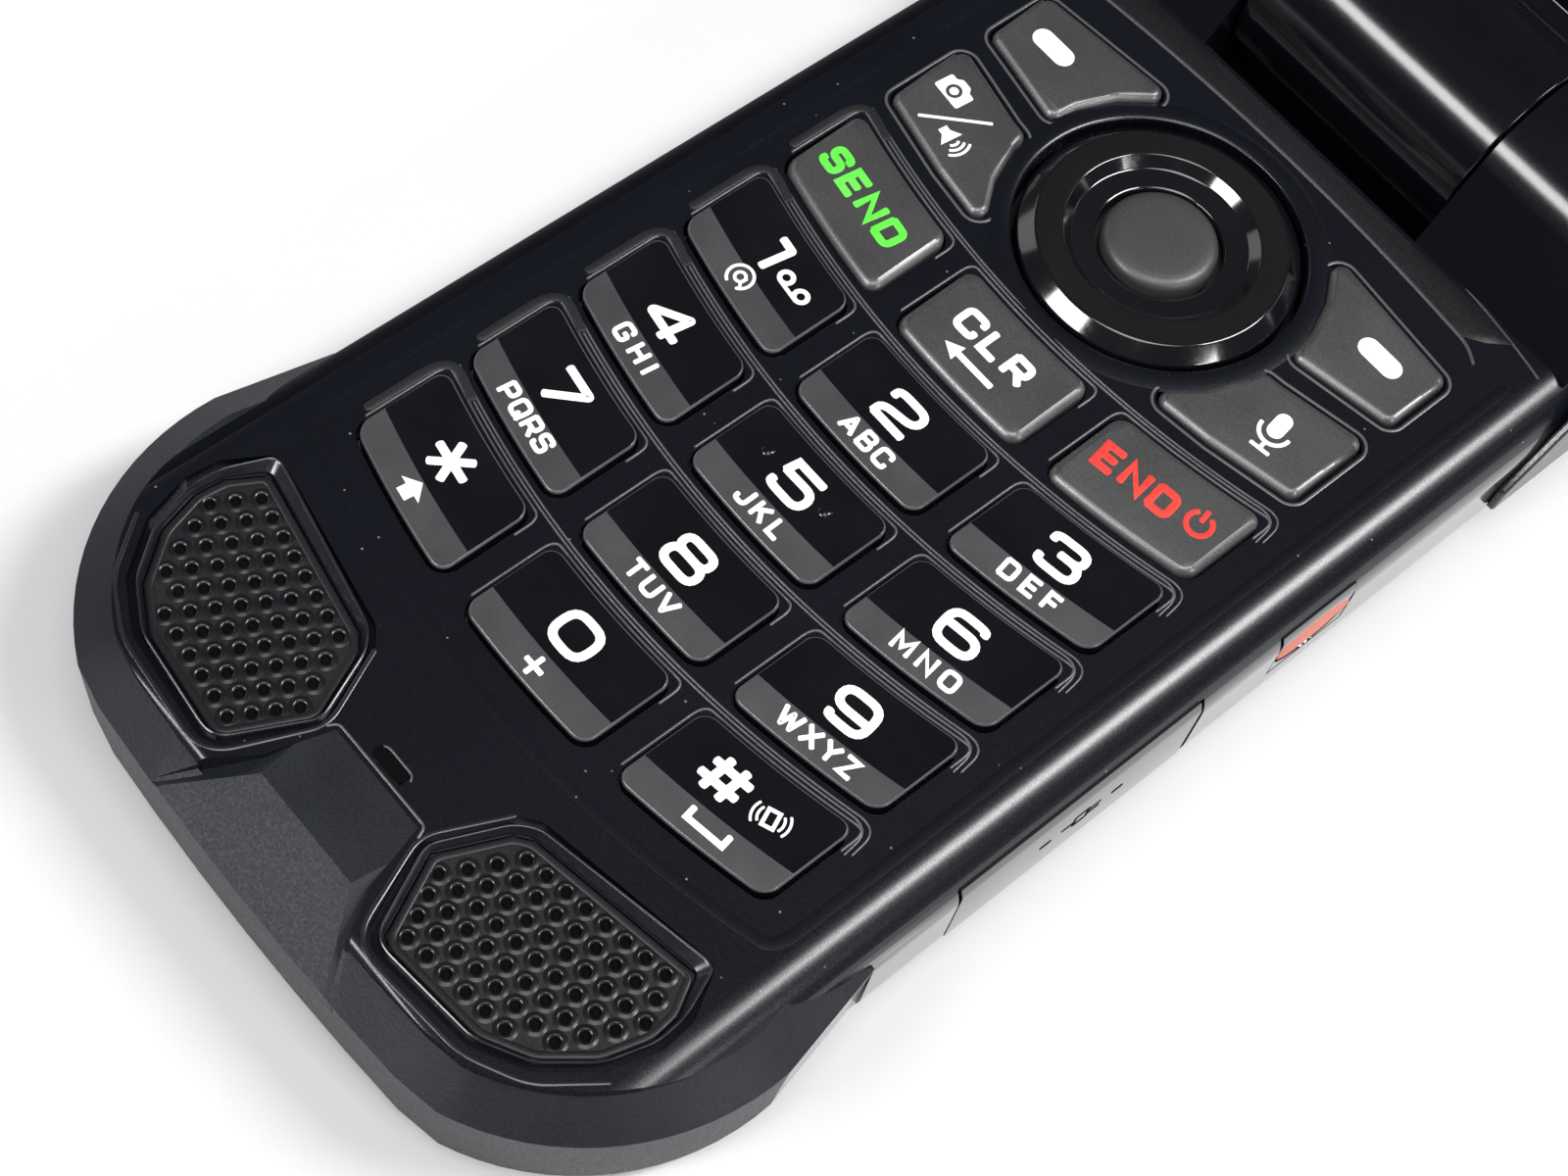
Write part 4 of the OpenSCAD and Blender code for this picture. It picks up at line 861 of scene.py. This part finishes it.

# ---------- Legends ----------
# White letters and figures are printed on the caps in a wide, square face. The call key is
# green and the end key red. Each is a thin raised film of paint, with a faint painted glow.

letter = {
    "A": (0.94, [(0.05, [(0, 0), (0.47, 1), (0.94, 0)]), (0, [(0.2, 0.3), (0.74, 0.3)])]),
    "B": (0.84, [(0.22, [(0, 1), (0.78, 1), (0.78, 0.52), (0, 0.52)]),
                 (0.24, [(0, 0.52), (0.84, 0.52), (0.84, 0), (0, 0)]), (0, [(0, 0), (0, 1)])]),
    "C": (0.84, [(0.28, [(0.84, 0.72), (0.84, 1), (0, 1), (0, 0), (0.84, 0), (0.84, 0.28)])]),
    "D": (0.86, [(0.30, [(0, 1), (0.86, 1), (0.86, 0), (0, 0)]), (0, [(0, 0), (0, 1)])]),
    "E": (0.76, [(0, [(0.76, 1), (0, 1), (0, 0), (0.76, 0)]), (0, [(0, 0.5), (0.68, 0.5)])]),
    "F": (0.74, [(0, [(0.74, 1), (0, 1), (0, 0)]), (0, [(0, 0.5), (0.64, 0.5)])]),
    "G": (0.86, [(0.28, [(0.84, 0.76), (0.84, 1), (0, 1), (0, 0), (0.86, 0), (0.86, 0.46)]),
                 (0, [(0.86, 0.46), (0.5, 0.46)])]),
    "H": (0.84, [(0, [(0, 0), (0, 1)]), (0, [(0.84, 0), (0.84, 1)]), (0, [(0, 0.5), (0.84, 0.5)])]),
    "I": (0.0, [(0, [(0, 0), (0, 1)])]),
    "J": (0.70, [(0.28, [(0.7, 1), (0.7, 0), (0, 0), (0, 0.3)])]),
    "K": (0.80, [(0, [(0, 0), (0, 1)]), (0, [(0.78, 1), (0.1, 0.46)]), (0, [(0.3, 0.6), (0.8, 0)])]),
    "L": (0.70, [(0, [(0, 1), (0, 0), (0.7, 0)])]),
    "M": (1.05, [(0, [(0, 0), (0, 1), (0.525, 0.3), (1.05, 1), (1.05, 0)])]),
    "N": (0.86, [(0, [(0, 0), (0, 1), (0.86, 0), (0.86, 1)])]),
    "O": (0.90, [(0.32, [(0, 0), (0.9, 0), (0.9, 1), (0, 1), (0, 0)])]),
    "P": (0.80, [(0.24, [(0, 1), (0.8, 1), (0.8, 0.42), (0, 0.42)]), (0, [(0, 0), (0, 1)])]),
    "Q": (0.90, [(0.32, [(0, 0), (0.9, 0), (0.9, 1), (0, 1), (0, 0)]), (0, [(0.55, 0.3), (0.94, -0.06)])]),
    "R": (0.82, [(0.24, [(0, 1), (0.8, 1), (0.8, 0.44), (0, 0.44)]), (0, [(0, 0), (0, 1)]),
                 (0, [(0.42, 0.44), (0.84, 0)])]),
    "S": (0.80, [(0.24, [(0.78, 0.78), (0.78, 1), (0, 1), (0, 0.52), (0.8, 0.52), (0.8, 0), (0, 0),
                         (0, 0.22)])]),
    "T": (0.86, [(0, [(0, 1), (0.86, 1)]), (0, [(0.43, 1), (0.43, 0)])]),
    "U": (0.84, [(0.30, [(0, 1), (0, 0), (0.84, 0), (0.84, 1)])]),
    "V": (0.94, [(0.05, [(0, 1), (0.47, 0), (0.94, 1)])]),
    "W": (1.25, [(0.05, [(0, 1), (0.31, 0), (0.625, 0.85), (0.94, 0), (1.25, 1)])]),
    "X": (0.88, [(0, [(0, 0), (0.88, 1)]), (0, [(0, 1), (0.88, 0)])]),
    "Y": (0.90, [(0, [(0, 1), (0.45, 0.48), (0.9, 1)]), (0, [(0.45, 0.48), (0.45, 0)])]),
    "Z": (0.80, [(0, [(0, 1), (0.8, 1), (0, 0), (0.8, 0)])]),
    "0": (1.10, [(0.42, [(0, 0), (1.1, 0), (1.1, 1), (0, 1), (0, 0)])]),
    "1": (0.46, [(0.04, [(0, 1), (0.46, 1), (0.46, 0)])]),
    "2": (1.08, [(0.34, [(0, 0.74), (0, 1), (1.08, 1), (1.08, 0.5), (0, 0.34), (0, 0)]),
                 (0, [(0, 0.02), (1.08, 0.02)])]),
    "3": (1.08, [(0.32, [(0, 0.78), (0, 1), (1.04, 1), (1.04, 0.54), (0.4, 0.54)]),
                 (0.34, [(0.4, 0.54), (1.08, 0.54), (1.08, 0), (0, 0), (0, 0.22)])]),
    "4": (1.14, [(0.06, [(0.8, 0), (0.8, 1), (0, 0.32), (0, 0.24), (1.14, 0.24)])]),
    "5": (1.08, [(0, [(1.02, 1), (0.08, 1), (0.02, 0.58)]),
                 (0.34, [(0.02, 0.6), (1.08, 0.62), (1.08, 0), (0, 0), (0, 0.2)])]),
    "6": (1.10, [(0.38, [(1.02, 0.84), (1.02, 1), (0, 1), (0, 0), (1.1, 0), (1.1, 0.58), (0, 0.58)])]),
    "7": (1.06, [(0.10, [(0, 1), (1.06, 1), (0.36, 0)])]),
    "8": (1.10, [(0.28, [(0.05, 0.54), (0.05, 1), (1.05, 1), (1.05, 0.54), (0.05, 0.54)]),
                 (0.32, [(0, 0), (1.1, 0), (1.1, 0.54), (0, 0.54), (0, 0)])]),
    "9": (1.10, [(0.38, [(0.08, 0.16), (0.08, 0), (1.1, 0), (1.1, 1), (0, 1), (0, 0.42), (1.1, 0.42)])]),
    "+": (0.94, [(0, [(0, 0.42), (0.94, 0.42)]), (0, [(0.47, -0.02), (0.47, 0.9)])]),
    "*": (1.24, [(0, [(0, 0.5), (1.24, 0.5)]), (0, [(0.31, 0.0), (0.93, 1.0)]),
                 (0, [(0.31, 1.0), (0.93, 0.0)])]),
    "#": (1.20, [(0, [(0, 0.28), (1.12, 0.28)]), (0, [(0.1, 0.74), (1.2, 0.74)]),
                 (0, [(0.30, 0), (0.40, 1)]), (0, [(0.80, 0), (0.90, 1)])]),
}
film = 0.022
second_film = film + 0.004
print_white = finish("print_white", (0.93, 0.93, 0.92), (0.88, 0.88, 0.88), 0.55, grain=0.3, drift=3)
print_green = finish("print_green", (0.10, 0.80, 0.05), (0.16, 0.88, 0.10), 0.5, grain=0.3, drift=3)
print_red = finish("print_red", (0.85, 0.030, 0.020), (0.92, 0.06, 0.04), 0.5, grain=0.3, drift=3)
# Each paint glows a little in its own colour: painted light that keeps the print bright.
for paint, glow in ((print_white, 0.30), (print_green, 0.25), (print_red, 0.25)):
    shader = paint.node_tree.nodes["Principled BSDF"]
    tone = paint.node_tree.nodes["Mix"].inputs["A"].default_value
    shader.inputs["Emission Color"].default_value = tone
    shader.inputs["Emission Strength"].default_value = glow


def placed(points, centre, lean):
    """Points of a drawing turned by lean degrees and set down about a centre."""
    turned_by = Matrix.Rotation(math.radians(lean), 2)
    return [Vector(centre) + turned_by @ Vector(point) for point in points]


def add_stroke(form, points, centre, lean, width, surface, height=film, closed=False, cap=0.22):
    """Adds one stroke of a pen of that width, drawn about a centre."""
    add_line(form, placed(points, centre, lean), width, height, surface, closed, cap=cap, crown=False,
             sink=0.01)


def add_word(form, text, centre, height, stroke, lean, surface, gap=0.32, stretch=1.0):
    """Adds letters drawn with a pen of that stroke, centred on a point of the cap."""
    unit = height - stroke
    widths = [letter[sign][0] * unit * stretch for sign in text]
    total = sum(widths) + len(text) * stroke + (len(text) - 1) * gap
    pen = -total / 2 + stroke / 2
    layer = 0
    for sign, width in zip(text, widths):
        for fillet, points in letter[sign][1]:
            drawn = [(pen + x * unit * stretch, (y - 0.5) * unit) for x, y in points]
            closed = drawn[0] == drawn[-1]
            path = filleted(drawn[:-1] if closed else drawn, fillet * unit, closed)
            add_stroke(form, path, centre, lean, stroke, surface, film + 0.003 * layer, closed)
            layer = (layer + 1) % 5
        pen += width + stroke + gap


def add_patch(form, points, surface, height=film):
    """Adds a filled shape of paint."""
    foot = ring_on(form, grown(points, 0.02), surface, -0.01)
    face = ring_on(form, points, surface, height)
    join_rings(form, (foot, face))
    form.faces.new(face)


def print_on(node, form, paint):
    slot = "number_key" if node in number_keys else "function_key"
    fit_form(form, node + "_legend", node, slot, paint, crease=50)


def spot(x, row, rise):
    """A place on the keypad: across, row, and height above the row's lower curve."""
    return (x, smile(x, row_0 + row * row_pitch) + rise)


def slope(x):
    """How far the legends of a row lean at x, in degrees."""
    return math.degrees(math.atan(2 * x / smile_run)) * 0.85


key_letters = {"2": "ABC", "3": "DEF", "4": "GHI", "5": "JKL", "6": "MNO", "7": "PQRS", "8": "TUV",
               "9": "WXYZ"}
side_x = 15.65
letter_gap = {"GHI": 0.62, "DEF": 0.54, "MNO": 0.54, "JKL": 0.42, "PQRS": 0.18, "WXYZ": 0.18}
figure_h, figure_pen = 3.42, 0.68
letter_h, letter_pen = 1.68, 0.38
for node, (column, row) in number_keys.items():
    figure = {"key_star": "*", "key_hash": "#"}.get(node, node[-1])
    letters = key_letters.get(figure)
    top = tops[node]
    form = bmesh.new()
    x = column * side_x - 0.1 + {"#": -1.5, "1": -0.35}.get(figure, 0)
    add_word(form, figure, spot(x, row, 4.95), figure_h, figure_pen, slope(x), top)
    if letters:
        x = column * side_x + 0.05
        add_word(form, letters, spot(x, row, 1.55), letter_h, letter_pen, slope(x), top,
                 gap=letter_gap.get(letters, 0.28), stretch=0.94)
    if figure == "0":
        add_word(form, "+", spot(-0.1, row, 1.45), 2.1, 0.42, 0, top)
    if figure == "1":
        at_sign = spot(-15.85, row, 1.72)
        lean = slope(at_sign[0])
        add_stroke(form, arc_path(0, 0, 1.02, -50, 255, 26), at_sign, lean, 0.26, top)
        add_stroke(form, circle(0, 0, 0.42, 16), at_sign, lean, 0.26, top, closed=True)
        add_stroke(form, [(0.42, 0.3), (0.44, -0.25), (0.72, -0.5)], at_sign, lean, 0.24, top, second_film)
        tape = spot(-12.85, row, 4.75)
        lean = slope(tape[0])
        for side in (-1, 1):
            add_stroke(form, circle(side * 0.95, 0.05, 0.52, 18), tape, lean, 0.40, top, closed=True)
        add_stroke(form, [(-0.95, -0.5), (0.95, -0.5)], tape, lean, 0.34, top, second_film)
    if figure == "*":
        arrow_at = spot(-15.7, row, 1.5)
        arrow = [(0, 0.88), (-1.2, -0.1), (-0.55, -0.1), (-0.55, -0.85), (0.55, -0.85), (0.55, -0.1),
                 (1.2, -0.1)]
        add_patch(form, placed(arrow, arrow_at, slope(arrow_at[0])), top)
    if figure == "#":
        space_at = spot(15.95, row, 1.5)
        space = [(-1.55, 0.5), (-1.55, -0.35), (1.55, -0.35), (1.55, 0.5)]
        add_stroke(form, space, space_at, slope(space_at[0]), 0.48, top)
        buzz_at = spot(18.05, row, 4.75)
        lean = slope(buzz_at[0]) + 12
        case = [(-0.42, -0.62), (0.42, -0.62), (0.42, 0.62), (-0.42, 0.62)]
        add_stroke(form, case, buzz_at, lean, 0.30, top, closed=True)
        for side in (0, 180):
            for radius in (0.95, 1.38):
                add_stroke(form, arc_path(0, 0, radius, side - 34, side + 34, 8), buzz_at, lean, 0.20, top)
    print_on(node, form, print_white)

word_h, word_pen = 2.45, 0.62
form = bmesh.new()
x = -16.0
add_word(form, "SEND", spot(x, 4, 4.05), word_h, word_pen, slope(x), tops["send_key"], gap=0.34)
print_on("send_key", form, print_green)
form = bmesh.new()
top = tops["clear_key"]
add_word(form, "CLR", spot(-0.35, 4, 4.6), 2.40, 0.60, 0, top, gap=0.42, stretch=1.1)
arrow_at = spot(-0.35, 4, 2.12)
add_stroke(form, [(-1.3, 0), (2.3, 0)], arrow_at, 0, 0.52, top, cap=0.2)
add_patch(form, placed([(-2.6, 0), (-1.2, -0.72), (-1.2, 0.72)], arrow_at, 0), top, second_film)
print_on("clear_key", form, print_white)
form = bmesh.new()
top = tops["end_key"]
x = 14.05
add_word(form, "END", spot(x, 4, 4.15), word_h, word_pen, slope(x), top, gap=0.34)
power_at = spot(19.35, 4, 4.35)
for path in (arc_path(0, -0.1, 0.98, 125, 415, 22), [(0, 0.15), (0, 1.15)]):
    add_stroke(form, path, power_at, slope(power_at[0]), 0.42, top)
print_on("end_key", form, print_red)

pill_w, pill_h = 4.0, 1.75
half = (pill_w - pill_h) / 2
pill = arc_path(half, 0, pill_h / 2, -90, 90) + arc_path(-half, 0, pill_h / 2, 90, 270)
for node, centre in {"soft_key_left": (-18.0, nav_y + 5.6), "soft_key_right": (17.5, nav_y + 6.0)}.items():
    form = bmesh.new()
    add_patch(form, placed(pill, centre, 0), tops[node])
    print_on(node, form, print_white)

form = bmesh.new()
top = tops["speaker_key"]
camera_at, camera_lean = (-19.3, nav_y - 3.7), -6
case = filleted([(-1.4, -1.0), (1.4, -1.0), (1.4, 0.75), (0.75, 0.75), (0.5, 1.15), (-0.5, 1.15),
                 (-0.75, 0.75), (-1.4, 0.75)], 0.22, closed=True)
add_patch(form, placed(case, camera_at, camera_lean), top)
lens_mark = bmesh.new()
add_line(lens_mark, placed(circle(0, -0.12, 0.52, 18), camera_at, camera_lean), 0.30, film + 0.015, top,
         closed=True, crown=False, sink=0.005)
fit_form(lens_mark, "camera_mark", "speaker_key", "function_key", cap_grey)
add_stroke(form, [(-15.3, nav_y - 3.5), (-19.3, nav_y - 7.5)], (0, 0), 0, 0.28, top)
speaker_at, speaker_lean = (-16.0, nav_y - 7.0), -8
horn = [(-1.35, -0.38), (-0.85, -0.38), (-0.1, -0.95), (-0.1, 0.95), (-0.85, 0.38), (-1.35, 0.38)]
add_patch(form, placed(horn, speaker_at, speaker_lean), top)
for radius in (0.55, 1.0, 1.45):
    add_stroke(form, arc_path(-0.1, 0, radius, -42, 42, 8), speaker_at, speaker_lean, 0.24, top)
print_on("speaker_key", form, print_white)

form = bmesh.new()
top = tops["voice_key"]
voice_at, voice_lean = (17.2, nav_y - 5.0), 8
capsule = arc_path(0, 1.0, 0.66, 0, 180) + arc_path(0, -0.05, 0.66, 180, 360)
add_patch(form, placed(capsule, voice_at, voice_lean), top)
for path in (arc_path(0, -0.1, 1.22, 180, 360, 16), [(0, -1.3), (0, -2.0)], [(-0.8, -2.05), (0.8, -2.05)]):
    add_stroke(form, path, voice_at, voice_lean, 0.34, top, second_film)
print_on("voice_key", form, print_white)

# ---------- Side controls ----------
# An oval orange call button in a flush black surround and a rubber port cover with a plug sign sit
# in the right wall, and the volume rocker in the left. The hinge caps are hard grey trim pressed
# onto both ends of the hinge.

orange = finish("button_orange", (0.72, 0.155, 0.085), (0.78, 0.185, 0.105), 0.42, grain=0.3, gloss=0.45,
                drift=4)
control_black = finish("control_black", (0.014, 0.014, 0.015), (0.020, 0.020, 0.021), 0.20, grain=0.2,
                       depth=0.001, gloss=1.0, coat=0.8)
cap_trim = finish("cap_trim", (0.030, 0.031, 0.034), (0.045, 0.046, 0.050), 0.28, grain=0.2, depth=0.002,
                  gloss=0.9)
wall_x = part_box("front_housing")[1][0] / MM
button_low, button_high = [[value / MM for value in corner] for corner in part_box("sos_button")]
button_lip = 0.5
half_l = (button_high[1] - button_low[1]) / 2 - button_lip
half_h = (button_high[2] - button_low[2]) / 2 - button_lip
button_y, button_z = (button_high[1] + button_low[1]) / 2, (button_high[2] + button_low[2]) / 2
pad = bmesh.new()
sheet = []
for along in span(-1, 1, 24):
    bow = math.sqrt(max(0.02, 1 - along ** 2))
    y = button_y + along * half_l
    levels = [
        (-1, 1.6), (-1, 0.02), (-0.88 * bow - 0.12, 0.03), (-0.88 * bow - 0.11, 0.6), (-0.88 * bow, 0.6),
        (-0.86 * bow, 0.15), (-0.78 * bow, 0.04), (-0.5 * bow, -0.02), (0, -0.05), (0.45 * bow, 0.0),
        (0.70 * bow, 0.05), (0.76 * bow, 0.06), (0.82, 0.04), (1, 0.20), (1.09, 0.28), (1.09, 1.6)]
    sheet.append([pad.verts.new(Vector((wall_x - inward, y, button_z + half_h * rise)) * MM)
                  for rise, inward in levels])
pad_face = range(4, 11)
for one, two in zip(sheet, sheet[1:]):
    for k in range(len(one) - 1):
        part = pad.faces.new((one[k], two[k], two[k + 1], one[k + 1]))
        part.material_index = 0 if k in pad_face else 1
for column in (sheet[0], sheet[-1]):
    pad.faces.new(column).material_index = 1
button = fit_form(pad, "sos_pad", "sos_button", "orange", orange, "sos_button", crease=60)
button.data.materials.append(wall_black)
moulded("volume_rocker", 0.4, control_black, "control")
port = moulded("port_cover", 0, wall_black, "control")
top_play, wall_lean, end_play = 0.24, 0.4, 0.25
port_top, port_end = [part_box("port_cover")[1][k] for k in (2, 1)]
for vertex in port.data.vertices:
    if vertex.co.z > port_top - 0.1 * MM:
        vertex.co.z += top_play * MM
        vertex.co.x -= wall_lean * top_play * MM
    if vertex.co.y > port_end - 0.1 * MM:
        vertex.co.y -= end_play * MM


def on_wall(x, y):
    return wall_x


signs = bmesh.new()
sign_z = 6.9
sign_rise = 0.04
dash_half, plug_half, prong_half = 0.35, 0.7, 0.35
cable_end, plug_back, plug_front, prong_tip = -12.3, -11.2, -9.9, -8.8
for y in (-14.0, -7.0):
    dash = [(y - dash_half, sign_z), (y + dash_half, sign_z)]
    add_line(signs, dash, 0.45, sign_rise, on_wall, crown=False)
add_line(signs, [(cable_end, sign_z), (plug_back, sign_z)], 0.30, sign_rise, on_wall, crown=False)
plug = [(plug_back, sign_z - plug_half), (plug_front, sign_z - plug_half), (plug_front, sign_z + plug_half),
        (plug_back, sign_z + plug_half)]
add_line(signs, filleted(plug, 0.25, closed=True), 0.30, sign_rise, on_wall, closed=True, crown=False)
for z in (sign_z - prong_half, sign_z + prong_half):
    add_line(signs, [(plug_front, z), (prong_tip, z)], 0.28, sign_rise, on_wall, crown=False)
for vertex in signs.verts:
    vertex.co = Vector((vertex.co.z, vertex.co.x, vertex.co.y))
fit_form(signs, "port_signs", "port_cover", "control", gauze_black)
moulded("hinge_caps", 0.2, cap_trim, "control")

# ---------- Battery side ----------
# The battery cover fills the back, sealed by a gasket and held by a sliding latch. Four screws
# hold the housings together.

cover_black = finish("cover_black", (0.014, 0.014, 0.016), (0.022, 0.022, 0.024), 0.55, grain=0.3,
                     depth=0.02)
steel = finish("steel", (0.50, 0.50, 0.52), (0.40, 0.40, 0.42), 0.32, grain=0.3, depth=0.002, metal=1.0)
seal_red = finish("seal_red", (0.28, 0.05, 0.03), (0.34, 0.07, 0.05), 0.6, grain=0.4)
moulded("battery_cover", 0.2, cover_black, "rear")
moulded("cover_latch", 0.12, cap_trim, "control")


def refinished(node, material):
    """Gives a solid that keeps its own shape its finish."""
    solid = frame["nodes"][node]
    solid.data.materials.clear()
    solid.data.materials.append(material)


battery_wrap = finish("battery_wrap", (0.05, 0.055, 0.065), (0.08, 0.085, 0.095), 0.4, grain=0.5)
refinished("cover_seal", seal_red)
refinished("housing_screws", steel)
refinished("battery", battery_wrap)

# ---------- Works of the base ----------
# Under the deck lie the silicone membrane, the steel domes, the main board with its parts, and
# the two halves of the hinge.

silicone = finish("silicone", (0.32, 0.32, 0.33), (0.40, 0.40, 0.41), 0.6, grain=0.5, depth=0.004)
dome_steel = finish("dome_steel", (0.62, 0.62, 0.64), (0.52, 0.52, 0.55), 0.25, grain=0.4, metal=1.0)
board_green = finish("board_green", (0.012, 0.085, 0.045), (0.02, 0.12, 0.065), 0.38, grain=0.8, depth=0.01)
part_grey = finish("part_grey", (0.10, 0.10, 0.11), (0.16, 0.16, 0.17), 0.5, grain=0.4)
brass = finish("brass", (0.62, 0.42, 0.18), (0.55, 0.36, 0.14), 0.3, grain=0.4, metal=1.0)
copper_film = finish("copper_film", (0.55, 0.26, 0.07), (0.45, 0.20, 0.05), 0.4, grain=0.5)
for node, material in {
        "keypad_membrane": silicone, "dome_switches": dome_steel, "main_board": board_green,
        "loudspeakers": part_grey, "microphone": gauze_black, "vibration_motor": steel,
        "usb_connector": steel, "hinge_cartridge": steel, "hinge_bush": brass,
        "hinge_shafts": steel, "hinge_flex": copper_film, "nav_plate": part_grey}.items():
    refinished(node, material)

# ---------- Lid ----------
# The lid is a thin clamshell with the main display inside and a small display, the camera and its
# light outside. Glossy lenses cover both displays.

lens_black = finish("lens_black", (0.004, 0.004, 0.005), (0.006, 0.006, 0.007), 0.07, grain=2.0, gloss=0.6,
                    coat=0.5)
glass_dark = finish("glass_dark", (0.010, 0.011, 0.016), (0.014, 0.015, 0.020), 0.10, grain=2.0, gloss=0.6)
flash_white = finish("flash_white", (0.75, 0.72, 0.60), (0.82, 0.80, 0.70), 0.2, grain=0.4, depth=0.01)
pad_black = finish("pad_black", (0.012, 0.012, 0.012), (0.02, 0.02, 0.02), 0.7, grain=0.3, depth=0.01)
moulded("lid_inner_shell", 0.15, lid_black, "housing", crease=30)
moulded("lid_outer_shell", 0.2, lid_black, "housing", crease=30)
moulded("display_lens", 0.12, lens_black, "lens")
moulded("outer_lens", 0.15, lens_black, "lens")
moulded("camera_lens", 0.2, cap_trim, "lens")
moulded("flash_lens", 0.12, flash_white, "flash")
moulded("lid_pads", 0.2, pad_black, "control")
for node, material in {
        "main_display": glass_dark, "outer_display": glass_dark, "camera_module": lens_black,
        "earpiece": part_grey, "earpiece_mesh": steel, "lid_board": board_green}.items():
    refinished(node, material)
